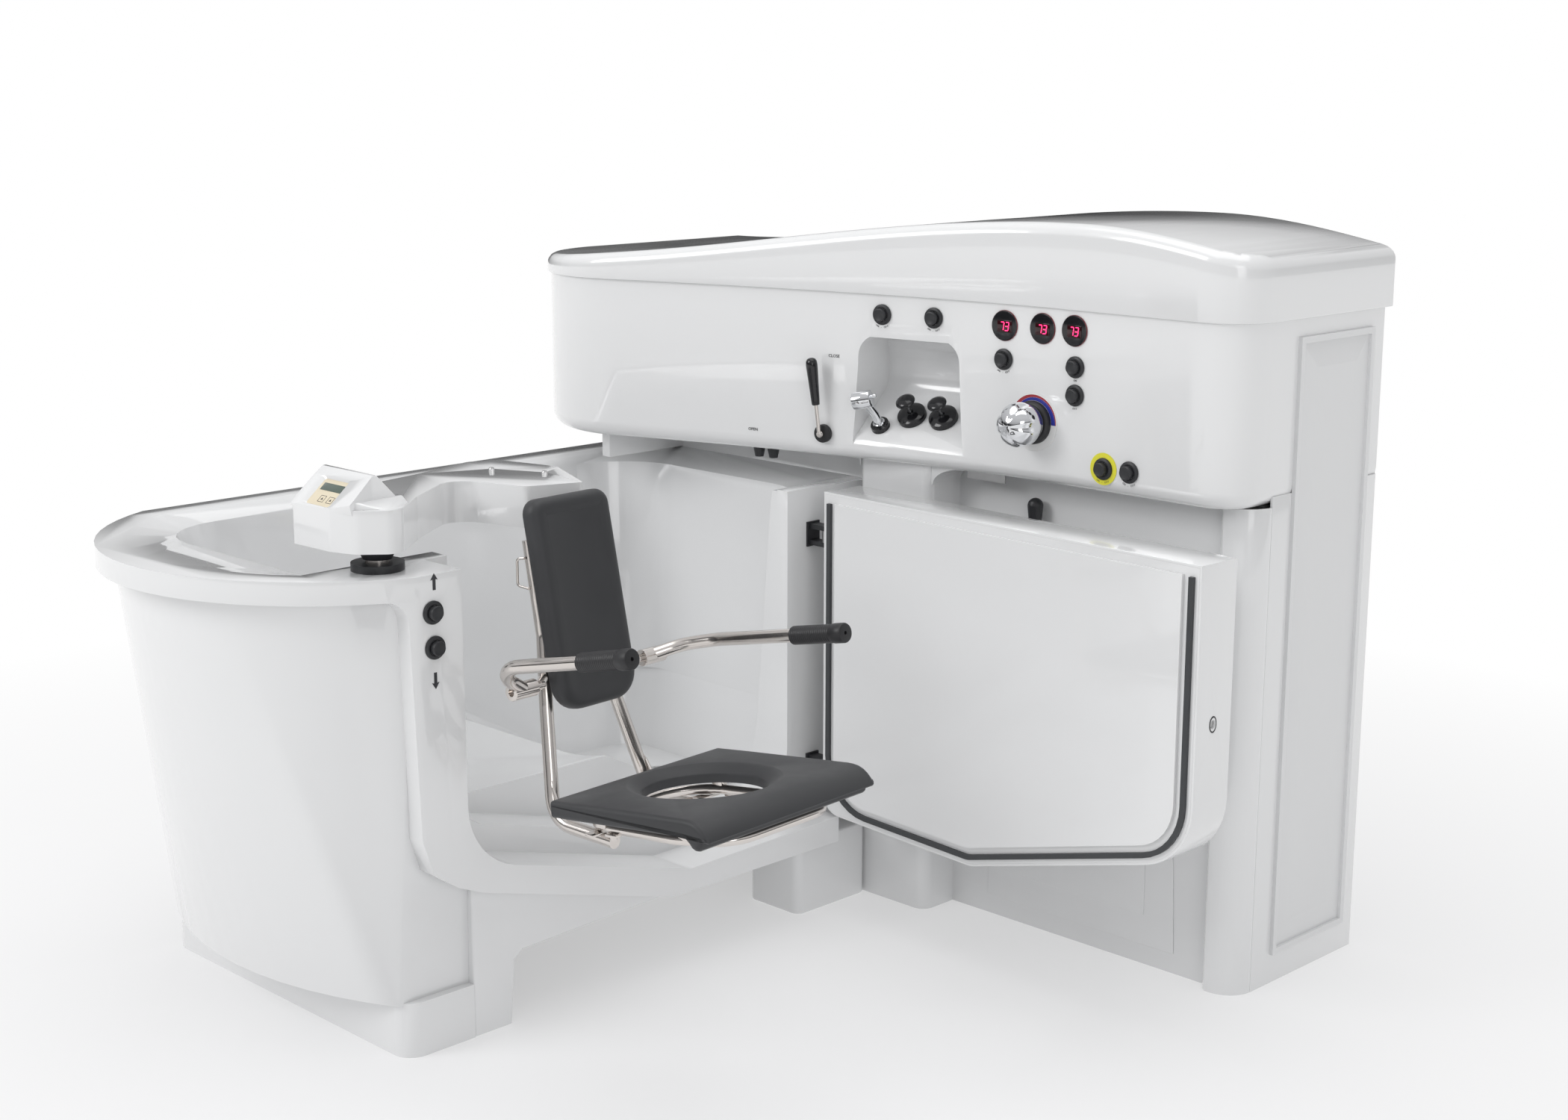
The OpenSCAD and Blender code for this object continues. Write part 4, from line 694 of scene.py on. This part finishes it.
def chair_fittings():
    """Seat clamps, their bolts and the wire loop behind the back pad."""
    bm = bmesh.new()
    m = at_chair()
    low, z = LOW_TUBE_Z, SEAT_TUBE_DROP
    for s in (-1, 1):
        block(bm, (26, s * 134 - 26, low + 13.3), (46, s * 134 + 26, low + 18.2), m, 1.2, 2)
        block(bm, (66, s * 150 - 9, z - 12), (92, s * 150 + 9, z - 6), on_seat(), 1.5, 2)
        turned(bm, [(0, z - 18), (6, z - 18), (6.5, z - 17), (6.5, z - 6), (0, z - 6)],
               on_seat() @ shift_by(79, s * 150, 0), 24)
    tube(bm, [(-204, -77.3, 900), (-218, -82, 898), (-218, -82, 849), (-194, -77.3, 846)], 5, m, 7)
    keep("clamps_and_loop", bm, polished, "chair", ["chair_fittings"], 40)


def along(m, start, direction):
    """Matrix at a point, its local Z along a direction."""
    return m @ shift_by(*start) @ direction.to_track_quat("Z", "Y").to_matrix().to_4x4()


def armrest(side, s, path):
    """One armrest: a sleeve on its pivot, the bent tube and the ribbed grip with a fat end."""
    m = at_chair()
    path = [Vector(p) for p in path]
    end = path[-1]
    v = (end - path[-2]).normalized()
    bm = bmesh.new()
    turned(bm, [(7.1, 0), (14.6, 0), (15.5, 1), (15.5, 53), (14.6, 54), (7.1, 54), (7.1, 0)],
           m @ shift_by(PIVOT_F, s * 132, PIVOT_Z) @ turn_by("X", -s * 90), 40)
    tube(bm, [(PIVOT_F + 2, s * 160, PIVOT_Z + 2)] + path[:-1] + [end + v * 92], ARM_TUBE, m, 90)
    keep("armrest_tube_" + side, bm, polished, "arm_" + side, ["armrest_" + side], 40)
    ribs = []
    for k in range(20):
        z = 3 + k * 4.6
        ribs += [(17.0, z), (16.4, z + 1.2), (16.4, z + 2.6), (17.0, z + 3.8)]
    bm = bmesh.new()
    turned(bm, [(12.6, 0), (15.5, 0), (16.8, 1.4)] + ribs + [
        (17.0, 97), (18, 98.5), (18, 119), (16.6, 121.6), (14.8, 122), (3.5, 122), (3.2, 121.5),
        (3.2, 117), (0, 117)], along(m, end, v), 40)
    keep("grip_sleeve_" + side, bm, rubber, "arm_" + side, ["grip_" + side], 40)


def seat_cushion():
    """Moulded pad: flat top, front edge rolled down to a small lip, bevelled oval hole."""
    side = [(4, -31), (0, -27), (0, -6), (1.6, -2.2), (6, -0.3), (80, 0.4), (318, 0.6), (330, -0.2),
            (341, -2.4), (351, -7), (360, -14), (367, -22), (371.5, -29), (373, -33), (371.5, -35.6),
            (366, -36), (359, -35.4), (355.4, -37), (354, -41.5), (352, -47), (347.5, -50.4),
            (340, -50.6), (333, -47), (328, -40.5), (320, -33.5), (312, -31)]
    bm = bmesh.new()
    base = [bm.verts.new(Vector((x, SEAT_Y, z)) * MM) for x, z in side]
    face = bm.faces.new(base)
    grown = bmesh.ops.extrude_face_region(bm, geom=[face])["geom"]
    far_side = [v for v in grown if isinstance(v, bmesh.types.BMVert)]
    bmesh.ops.translate(bm, vec=(0, SEAT_W * MM, 0), verts=far_side)
    bmesh.ops.recalc_face_normals(bm, faces=bm.faces)
    bevel(bm, [e for e in corners(bm.edges, 60)
               if abs((e.verts[0].co - e.verts[1].co).y) < MM], 9, 5)
    # The hole is a round plug, wider than 100 mm by the share given at each height
    tool = bmesh.new()
    profile = [(0, -60), (1.03, -60), (1.03, -20), (1.035, -15), (1.055, -12.4), (1.21, -2.6),
               (1.25, -0.6), (1.29, 0.5), (1.33, 6), (0, 6)]
    turned(tool, [(100 * r, h) for r, h in profile],
           shift_by(HOLE_F, 0, 0) @ Matrix.Diagonal((HOLE_STRETCH, 1, 1, 1)), 64)
    bm = combined(bm, tool, "DIFFERENCE")
    bmesh.ops.transform(bm, matrix=on_seat(), verts=bm.verts)
    ob = keep("seat_cushion", bm, pad_skin, "chair", ["seat_pad"], 32)


def back_cushion():
    """Moulded pad with a soft front edge and a crease inside it."""
    w, h, t = BACK_HALF, BACK_H, BACK_T
    outline = []
    for cx, cz, r, start in ((w - 28, h - 28, 28, 0), (-w + 28, h - 28, 28, 90),
                             (-w + 52, 52, 52, 180), (w - 52, 52, 52, 270)):
        outline += arc(cx, cz, r, r, start, start + 90, 8)
    bm = bmesh.new()
    plate(bm, outline, 0, t, Matrix())
    bevel(bm, [e for e in corners(bm.edges, 60) if e.verts[0].co.z > 0.01], 16, 7)
    bevel(bm, corners(bm.edges, 60), 5, 3)
    top = max(bm.faces, key=lambda f: f.calc_center_median().z * 10 + f.calc_area())
    bmesh.ops.inset_region(bm, faces=[top], thickness=8 * MM, depth=0.0)
    bmesh.ops.inset_region(bm, faces=[top], thickness=7 * MM, depth=-1.8 * MM)
    # The outline stands up, with the pad's thickness toward the sitter
    bmesh.ops.transform(bm, matrix=at_chair() @ shift_by(BACK_F, 0, BACK_Z)
                        @ turn_by("Y", -BACK_LEAN) @ shift_by(-t, 0, 0) @ FROM_SIDE, verts=bm.verts)
    ob = keep("back_cushion", bm, pad_skin, "chair", ["back_pad"], 40)


back_tubes()
seat_tubes()
chair_fittings()
armrest("near", -1, [(-114, -208, 722), (-78, -ARM_HALF, 753), (100, -ARM_HALF, 793)])
armrest("far", 1, [(-92, 206, 708), (-26, ARM_HALF, 724), (162, ARM_HALF, 763)])
seat_cushion()
back_cushion()


# Console
def console_plan(d, back):
    """Plan of the console inset by d, anticlockwise, in millimetres."""
    left = -CONSOLE_W

    def outward(x):
        n = math.hypot(1, rise(x))
        return rise(x) / n, 1 / n

    # Where the bow runs into the round left end
    meet = left + 1.34 * END_R
    for _ in range(2):
        meet = left + END_R * (1 + outward(meet)[0])
    end_y = front(meet) + END_R * outward(meet)[1]
    start = math.degrees(-math.atan2(1, rise(meet))) - 3
    out = arc(-CORNER_R, CORNER_R - CONSOLE_D, CORNER_R - d, CORNER_R - d, 0, -90, 8)
    for k in range(1, 53):
        x = -CORNER_R + (meet + CORNER_R) * k / 52
        nx, ny = outward(x)
        out.append((x - d * nx, front(x) + d * ny))
    out += arc(left + END_R, end_y, END_R - d, END_R - d, start, -180, 16)[1:]
    return [(-d, back)] + out + [(left + d, back)]


def perimeter(bm, z):
    """Edges at one height that turn a corner of the shell."""
    return [e for e in corners(bm.edges, 50) if all(abs(v.co.z / MM - z) < 0.4 for v in e.verts)]


def console_cap():
    """Lid with a crest: a plate cut into strips whose top corners follow the wave."""
    bm = bmesh.new()
    plate(bm, console_plan(0, 0), CAP_Z, CAP_Z + 20, Matrix())
    for x in range(-int(CONSOLE_W) + 20, -10, 36):
        bmesh.ops.bisect_plane(bm, geom=bm.verts[:] + bm.edges[:] + bm.faces[:], dist=1e-6,
                               plane_co=(x * MM, 0, 0), plane_no=(1, 0, 0))
    for v in bm.verts:
        if v.co.z > (CAP_Z + 10) * MM:
            v.co.z = wave(min(0.0, v.co.x / MM)) * MM
    bevel(bm, [e for e in corners(bm.edges, 55)
               if all(v.co.z > (CAP_Z + 22) * MM for v in e.verts)
               and abs((e.verts[0].co - e.verts[1].co).normalized().z) < 0.6], 24, 6)
    bevel(bm, perimeter(bm, CAP_Z), 3, 2)
    bmesh.ops.transform(bm, matrix=ROW, verts=bm.verts)
    keep("cap_moulding", bm, gelcoat, "fixed", ["console_cap"], 38)


def niche_hollow():
    """The space of the niche: an arched opening with a sloping floor and a coved back."""
    face = [(-125, -4), (-122, 30), (-119, 62), (-116, 120), (-113, 165)]
    face += arc(-67, 177, 46, 46, 180, 90, 7) + arc(81, 177, 46, 46, 90, 0, 7)
    face += [(130, 120), (133, 62), (136, 30), (139, -4)]
    one = bmesh.new()
    plate(one, face, -150, 60, OUTWARD)
    two = bmesh.new()
    climb = math.tan(math.radians(NICHE_SLOPE))
    side = [(-60, -4), (0, -4), (4, 4 + 4 * climb), (104, 4 + 104 * climb), (112, 98), (118, 112),
            (120, 130), (119, 160), (113, 184), (98, 203), (76, 214), (48, 219), (-60, 219)]
    plate(two, side, -200, 200, FROM_SIDE)
    bm = combined(one, two, "INTERSECT")
    bevel(bm, [e for e in corners(bm.edges, 40) if min(v.co.y for v in e.verts) > 12 * MM], 20, 5,
          clamp=True)
    bmesh.ops.transform(bm, matrix=on_front(*NICHE), verts=bm.verts)
    return bm


def upper_body():
    bm = bmesh.new()
    plate(bm, console_plan(SHELL_IN, BACK_IN), BELLY_Z, CAP_Z + 4, Matrix())
    bevel(bm, perimeter(bm, BELLY_Z), 34, 7)
    bmesh.ops.transform(bm, matrix=ROW, verts=bm.verts)
    bm = combined(bm, niche_hollow(), "DIFFERENCE")
    # The lip of the niche is rounded: its edges lie near the front, round the opening
    to_niche = on_front(*NICHE).inverted()
    lip = []
    for e in corners(bm.edges, 32):
        spots = [to_niche @ v.co / MM for v in e.verts]
        if all(abs(q.x - 7) < 150 and -12 < q.z < 232 and abs(q.y) < 9 for q in spots):
            lip.append(e)
    bevel(bm, lip, 7, 4, clamp=True)
    keep("upper_body", bm, gelcoat, "fixed", ["console_casing", "niche_insert"], 32)


def column_and_walls():
    """Column, wall behind the tub, end walls and the stay over the rim."""
    bm = bmesh.new()
    left, right, top = COLUMN_X, COLUMN_X + COLUMN_W, BELLY_Z + 20
    outer = -CONSOLE_W + SHELL_IN
    block(bm, (left, -CONSOLE_D + 6, 0), (right, WALL_Y + 40, BELLY_Z + 30), ROW, 0, 3, 26)
    block(bm, (outer, TUB_Y, 0), (left + 20, TUB_Y + 6, top), ROW, 1)
    block(bm, (outer, TUB_Y, 0), (outer + 6, BACK_IN, top), ROW, 1)
    block(bm, (-14, -370, 0), (-8, BACK_IN, top), ROW, 1)
    block(bm, (TUB_FAR + 147, -CONSOLE_D - 157, RIM_H), (TUB_FAR + 173, TUB_Y + 3, BELLY_Z + 10),
          ROW, 3)
    # Fillets where the column runs into the belly
    low = BELLY_Z + 1
    for x, s, w, h in ((left, -1, 18, 24), (right, 1, 84, 40)):
        plate(bm, [(x - s * 3, low + 5), (x + s * w, low + 5), (x + s * w, low)]
              + arc(x + s * w, low - h, -s * w, h, 82, 2, 10) + [(x - s * 3, low - h)],
              -WALL_Y - 60, CONSOLE_D - 14, ROW @ OUTWARD)
    keep("column_and_walls", bm, gelcoat, "fixed", ())
    bm = bmesh.new()
    block(bm, (-639, WALL_Y - 5.4, 103), (-242, WALL_Y - 2.8, 857), ROW, 2.2, 3)
    keep("access_field", bm, powder, "fixed", ())


def latch_mouth():
    """Dark oval mouth of the latch in the free end of the door."""
    bm = bmesh.new()
    turned(bm, [(8.6, -0.4), (10.4, -0.4), (10.4, 0.5), (9.8, 0.9), (8.6, 0.9), (8.6, -0.4)],
           open_door() @ shift_by(DOOR_U + DOOR_W, 8, LATCH_Z) @ turn_by("Y", 90)
           @ Matrix.Diagonal((1.5, 1, 1, 1)), 40)
    keep("latch_mouth", bm, black_plastic, "door", ())


console_cap()
upper_body()
column_and_walls()
latch_mouth()


# Controls
BUTTONS = [("hand_spray_button", -838, 1260), ("air_button", -718, 1261),
           ("tub_fill_button", -553, 1192), ("reservoir_fill_button", -381, 1192),
           ("reservoir_auto_button", -380, 1138), ("disinfect_button", -308, 1005),
           ("rinse_button", -247, 1006)]
JAMB_Y = HINGE_Y - DOOR_U - DOOR_W - 5
SIDE_BUTTONS = [("lift_up_button", JAMB_Y - 64, 827), ("lift_down_button", JAMB_Y - 62, 764)]
DISPLAYS = [(-552, 1258), (-462, 1259), (-385, 1261)]
MIXER = (-478, 1076)
LEVER = (-972, 1006)
# Spray, oil pump and shampoo pump: sideways on the niche's floor, and up its slope
NICHE_SPOTS = [(-77, 41), (-17, 76), (57, 78)]


def control_places():
    """Name and place of each push button."""
    for name, x, z in BUTTONS:
        yield name, on_front(x, z) @ OUTWARD
    for name, y, z in SIDE_BUTTONS:
        yield name, on_pillar(y, z) @ OUTWARD


def push_buttons():
    bezel = bmesh.new()
    for name, m in control_places():
        turned(bezel, [(13.7, 0.9), (21.0, 0.9), (21.0, 3.4), (20.4, 4.6), (19.2, 5.3), (17.6, 5.5),
                       (16.9, 6.0), (14.5, 6.0), (13.7, 5.4), (13.7, 0.9)], m, 56)
        cap = bmesh.new()
        turned(cap, [(0, 4.5), (12.7, 4.5), (13.2, 6.3), (13.2, 14.4), (12.7, 15.5), (11.8, 16.1),
                     (11.0, 16.2), (10.4, 15.9), (0, 15.5)], m, 56)
        keep(name.replace("_button", "_cap"), cap, black_plastic, body_of(name), [name],
             30)
    keep("button_bezel_rings", bezel, black_plastic, "fixed", ["button_bezels"], 30)


def arc_band(bm, a0, a1, inner, outer, z, matrix, steps=40):
    """A flat band between two radii, each a function of the share along the arc."""
    rows = []
    for k in range(steps + 1):
        t = k / steps
        a = math.radians(a0 + (a1 - a0) * t)
        rows.append([bm.verts.new(matrix @ (Vector((r * math.cos(a), r * math.sin(a), z)) * MM))
                     for r in (inner(t), outer(t))])
    for p, q in zip(rows, rows[1:]):
        bm.faces.new((p[0], q[0], q[1], p[1]))


def words_below(bm, words, radius, size, matrix):
    """Small letters round the lower side of a ring."""
    step = math.degrees(size * 0.78 / radius)
    for i, letter in enumerate(words):
        a = 270 + (i - (len(words) - 1) / 2) * step
        if letter != " ":
            at = (radius * math.cos(math.radians(a)), radius * math.sin(math.radians(a)), 0.35)
            lettering(bm, letter, size, matrix @ shift_by(*at) @ turn_by("Z", a + 90))


def digit(bm, which, at, size, matrix):
    """A seven-bar digit leaning a little, size is its height."""
    bars = {"7": "abc", "3": "abgcd"}[which]
    w, t = size * 0.5, size * 0.11
    spots = {"a": (0, size / 2, 1), "b": (w / 2, size / 4, 0), "c": (w / 2, -size / 4, 0),
             "d": (0, -size / 2, 1), "g": (0, 0, 1)}
    for b in bars:
        x, y, flat = spots[b]
        hx, hy = (w / 2 - t * 0.4, t / 2) if flat else (t / 2, size / 4 - t * 0.4)
        made = block(bm, (x - hx, y - hy, 0), (x + hx, y + hy, 0.4), Matrix())
        for v in made:
            v.co.x += v.co.y * 0.14
        bmesh.ops.transform(bm, matrix=matrix @ shift_by(*at), verts=made)


def displays():
    """Three round temperature displays with lit digits."""
    case, screen, digits, rim = bmesh.new(), bmesh.new(), bmesh.new(), bmesh.new()
    for x, z in DISPLAYS:
        m = on_front(x, z) @ OUTWARD
        turned(case, [(0, 0.9), (29.5, 0.9), (29.5, 3.2), (28.6, 4.1), (27.4, 4.4), (0, 4.7)], m, 64)
        turned(rim, [(28.7, 0.8), (30.1, 0.8), (30.1, 2.2), (29.2, 2.9), (28.7, 0.8)], m, 64)
        block(screen, (-15, -12.5, 4.2), (19, 10.5, 5.6), m, 0.6, 2)
        for k, ch in enumerate("73"):
            digit(digits, ch, (-3.6 + 11.4 * k, -1, 5.7), 16.0, m)
    keep("display_cases", case, black_gloss, "fixed", ["displays"], 30)
    keep("display_rims", rim, red_rim, "fixed", (), 30)
    keep("display_windows", screen, window_red, "fixed", (), 30)
    keep("display_digits", digits, digit_red, "fixed", (), 30)


def mixer():
    """White plate with the blue and red bands, black collar, and the lever's collar."""
    m = on_front(*MIXER) @ OUTWARD
    bm = bmesh.new()
    turned(bm, [(0, 1.1), (56, 1.1), (56, 2.9), (55.4, 3.4), (0, 3.4)], m, 72)
    keep("mixer_plate", bm, plate_white, "fixed", ["mixer_ring"], 30)
    bm = bmesh.new()
    arc_band(bm, 168, -2, lambda t: 43, lambda t: 46 + 6.5 * t, 3.6, m)
    keep("mixer_cold_band", bm, blue_film, "fixed", (), 30)
    bm = bmesh.new()
    arc_band(bm, 176, -2, lambda t: 46 + 6.7 * t, lambda t: 54.2, 3.6, m)
    keep("mixer_hot_band", bm, red_film, "fixed", (), 30)
    bm = bmesh.new()
    turned(bm, [(30, 3.4), (42.5, 3.4), (42.5, 9), (41.8, 12.5), (39.6, 15.2), (37, 16.2), (34, 16.2),
                (30, 15), (30, 3.4)], m, 72)
    turned(bm, [(0, 0.9), (19, 0.9), (19, 9.5), (18, 11.4), (16.5, 12), (0, 12)],
           on_front(*LEVER) @ OUTWARD, 48)
    keep("mixer_collar", bm, rubber, "fixed", (), 30)
    # Ball knob with scalloped sides
    bm = bmesh.new()
    turned(bm, [(0, 16.6), (34, 16.6), (36.5, 18.5), (37.5, 22), (38, 27)]
           + arc(0, 48, 44, 44, -28, 77, 15) + [(0, 92)], Matrix(), 90)
    scallops, depth, foot = 5, 0.105, 30
    for v in bm.verts:
        z = v.co.z / MM
        if z > foot:
            a = math.atan2(v.co.y, v.co.x)
            share = min(1.0, (z - foot) / 18) * min(1.0, v.co.xy.length / (14 * MM))
            v.co.xy *= 1 - depth * share * max(0.0, math.cos(scallops * a)) ** 2
    bmesh.ops.transform(bm, matrix=m, verts=bm.verts)
    keep("mixer_ball_knob", bm, chrome, "mixer", ["mixer_knob"], 50)


def valve_lever():
    m = on_front(*LEVER) @ shift_by(0, -17, 0) @ turn_by("Y", -5)
    bm = bmesh.new()
    tube(bm, [(0, 3, -1), (0, -4, 3), (0, -8, 58), (0, -14, 150)], 8.2, m, 14)
    turned(bm, [(0, -4), (6.4, -4), (7.4, -2), (7.4, 3), (6, 5), (0, 5.6)], m @ OUTWARD, 40)
    keep("lever_rod", bm, polished, "lever", ["lever_arm"], 35)
    bm = bmesh.new()
    start = Vector((0, -8.6, 62))
    run = Vector((0, -14, 148)) - start
    long = run.length
    turned(bm, [(4.2, 0), (7.4, 0), (8.3, 1.2), (8.8, 10), (10.4, long * 0.55), (12, long - 10),
                (12.2, long - 2), (11.2, long + 5), (8.2, long + 9.6), (4, long + 11.6),
                (0, long + 12)], along(m, start, run.normalized()), 40)
    keep("lever_handle", bm, black_gloss, "lever", ["lever_grip"], 50)


def niche_fittings():
    """Collars on the niche's floor, two soap pumps and the hand spray."""
    bm = bmesh.new()
    turned(bm, [(0, 0.3), (20, 0.3), (20, 3.5), (19.4, 4.4), (19.4, 10.6), (18.2, 12), (9.2, 12),
                (9.2, 8), (0, 8)], on_slope(*NICHE_SPOTS[0]), 48)
    for spot in NICHE_SPOTS[1:]:
        turned(bm, [(5.4, 0.3), (30.5, 0.3), (30.5, 10.5), (29.8, 12), (25, 14.6), (16, 16.8),
                    (6.4, 17.4), (5.4, 16), (5.4, 0.3)], on_slope(*spot), 56)
    keep("niche_collars", bm, black_gloss, "fixed", ["niche_sockets"], 30)
    for name, spot in zip(("oil", "shampoo"), NICHE_SPOTS[1:]):
        bm = bmesh.new()
        turned(bm, [(0, 39), (5, 39), (5, 41), (13, 41.6), (19, 44.6), (20.6, 46.8), (20, 49),
                    (14, 52.6), (6, 54), (0, 54.2)], on_slope(*spot), 56)
        keep(name + "_plunger", bm, black_gloss, name, [name + "_pump"], 45)
        bm = bmesh.new()
        turned(bm, [(0, 15), (4.2, 15), (4.2, 40), (0, 40)], on_slope(*spot), 32)
        keep(name + "_stem", bm, chrome, name, (), 45)
    m = on_slope(*NICHE_SPOTS[0])
    bm = bmesh.new()
    turned(bm, [(0, 9), (8, 9), (8, 12.4), (13, 12.4), (13, 15), (12, 16), (9.6, 16.4), (9.4, 20)],
           m, 40)
    tube(bm, [(0, 0, 15), (0, 0, 40), (-4, -6, 90)], 18.5, m, 30)
    head = m @ shift_by(-4, -6, 88) @ turn_by("Z", 20) @ turn_by("Y", 90)
    turned(bm, [(0, -22), (16, -22), (17.4, -21), (18, -19), (18, 14), (17.2, 16.4), (15.2, 17.4),
                (0, 17.4)], head, 48)
    block(bm, (-9, -4, 15), (-2, 4, 30), head, 2.4, 3)
    keep("spray_gun", bm, chrome, "spray", ["hand_spray"], 35)


def printed_marks():
    """Generic words and arrows in black ink, and the yellow ring round one button."""
    bm = bmesh.new()
    words = {"reservoir_fill_button": "ON", "reservoir_auto_button": "OFF"}
    for name, x, z in BUTTONS:
        words_below(bm, words.get(name, "ON - OFF"), 26, 5,
                    on_front(x, z) @ OUTWARD @ shift_by(0, 0, INK_GAP))
    for s, y, z in ((1, SIDE_BUTTONS[0][1] + 5, 881), (-1, SIDE_BUTTONS[1][1], 704)):
        plate(bm, [(-3.2, -s * 15), (3.2, -s * 15), (3.2, s * 4), (7.8, s * 3), (0, s * 15),
                   (-7.8, s * 3), (-3.2, s * 4)], 0.15, 0.5, on_pillar(y, z) @ OUTWARD)
    for word, dx, dz in (("CLOSE", 22, 162), ("OPEN", -168, -6)):
        lettering(bm, word, 9, on_front(LEVER[0] + dx, LEVER[1] + dz) @ OUTWARD
                  @ shift_by(0, 0, INK_GAP))
    keep("printed_marks", bm, ink, "fixed", (), 30)
    bm = bmesh.new()
    turned(bm, [(21.4, 0.5), (31, 0.5), (31, 0.9), (21.4, 0.9), (21.4, 0.5)],
           on_front(*BUTTONS[5][1:]) @ OUTWARD, 64)
    keep("yellow_ring", bm, yellow_film, "fixed", (), 30)


push_buttons()
displays()
mixer()
valve_lever()
niche_fittings()
printed_marks()


# Camera, floor, light
def photo_camera():
    """Camera at the photograph's viewing angle."""
    cam = bpy.data.objects.new("photo_camera", bpy.data.cameras.new("photo_camera"))
    bpy.context.scene.collection.objects.link(cam)
    cam.data.lens = SENSOR * FOCAL_PX / PICTURE_PX
    cam.data.sensor_width = SENSOR
    cam.data.clip_end = 100.0
    az, pitch, roll = (math.radians(a) for a in (AZIMUTH, PITCH, ROLL))
    look = Vector((-math.sin(az) * math.cos(pitch), math.cos(az) * math.cos(pitch), -math.sin(pitch)))
    cam.rotation_mode = "QUATERNION"
    cam.rotation_quaternion = (look.to_track_quat("-Z", "Y")
                               @ Matrix.Rotation(roll, 3, "Z").to_quaternion())
    cam.location = place(*EYE)
    bpy.context.scene.camera = cam


def studio_floor():
    """Pale floor that runs into the white of the room far from the object."""
    bm = bmesh.new()
    bmesh.ops.create_circle(bm, cap_ends=True, segments=96, radius=30.0)
    me = bpy.data.meshes.new("studio_floor")
    bm.to_mesh(me)
    bm.free()
    ob = bpy.data.objects.new("studio_floor", me)
    bpy.context.scene.collection.objects.link(ob)
    mat, nt, p = shader("pale_floor")
    slow = grain(nt, 0.8)
    nt.links.new(tint(nt, slow.outputs["Fac"], (0.80, 0.80, 0.81), (0.82, 0.82, 0.83)),
                 p.inputs["Base Color"])
    put(p, Roughness=0.55, Specular_IOR_Level=0.25)
    glow = add_node(nt, "Emission", Color=(1, 1, 1, 1), Strength=1.0)
    tc = add_node(nt, "TexCoord")
    ln = add_node(nt, "VectorMath")
    ln.operation = "LENGTH"
    nt.links.new(tc.outputs["Object"], ln.inputs[0])
    far = spread(nt, ln.outputs["Value"], 0.42, 1.0, (0.8, 3.2))
    mix = add_node(nt, "MixShader")
    nt.links.new(far, mix.inputs[0])
    nt.links.new(p.outputs["BSDF"], mix.inputs[1])
    nt.links.new(glow.outputs["Emission"], mix.inputs[2])
    nt.links.new(mix.outputs["Shader"], nt.nodes["Material Output"].inputs["Surface"])
    me.materials.append(mat)


def lamp(name, spot, aim, size, power):
    light = bpy.data.lights.new(name, "AREA")
    light.shape = "RECTANGLE"
    light.size, light.size_y = size
    light.energy = power
    ob = bpy.data.objects.new(name, light)
    ob.location = spot
    ob.rotation_mode = "QUATERNION"
    ob.rotation_quaternion = (Vector(aim) - Vector(spot)).to_track_quat("-Z", "Y")
    bpy.context.scene.collection.objects.link(ob)


def studio_room():
    """White behind the object; what it mirrors is a soft room, darker along the horizon."""
    world = bpy.data.worlds.new("studio_room")
    bpy.context.scene.world = world
    world.use_nodes = True
    nt = world.node_tree
    tc = add_node(nt, "TexCoord")
    parts = add_node(nt, "SeparateXYZ")
    nt.links.new(tc.outputs["Object"], parts.inputs[0])
    ramp = add_node(nt, "ValToRGB")
    nt.links.new(parts.outputs["Z"], ramp.inputs["Fac"])
    stops = ramp.color_ramp.elements
    stops[0].position, stops[0].color = 0.0, (0.02, 0.02, 0.021, 1)
    stops[1].position, stops[1].color = 1.0, (0.80, 0.80, 0.80, 1)
    for at, grey in ((0.10, 0.05), (0.19, 0.50), (0.38, 0.66), (0.7, 0.80)):
        stop = stops.new(at)
        stop.color = (grey, grey, grey * 1.01, 1)
    seen = add_node(nt, "LightPath")
    white = add_node(nt, "Background", Color=(1, 1, 1, 1), Strength=1.0)
    back = nt.nodes["Background"]
    put(back, Strength=ROOM)
    nt.links.new(ramp.outputs["Color"], back.inputs["Color"])
    mix = add_node(nt, "MixShader")
    nt.links.new(seen.outputs["Is Camera Ray"], mix.inputs[0])
    nt.links.new(back.outputs["Background"], mix.inputs[1])
    nt.links.new(white.outputs["Background"], mix.inputs[2])
    nt.links.new(mix.outputs["Shader"], nt.nodes["World Output"].inputs["Surface"])


photo_camera()
studio_floor()
studio_room()
lamp("key_front", (-2.4, -5.6, 4.6), (0, 0, 0.5), (3.0, 3.0), 165)
lamp("fill_right", (5.0, -2.6, 2.4), (0, 0, 0.7), (2.0, 2.6), 30)
lamp("overhead", (0.3, 0.4, 5.0), (0, 0, 0), (4.0, 4.0), 70)
bpy.context.scene.view_settings.view_transform = "Standard"
bpy.context.scene.view_settings.look = "None"
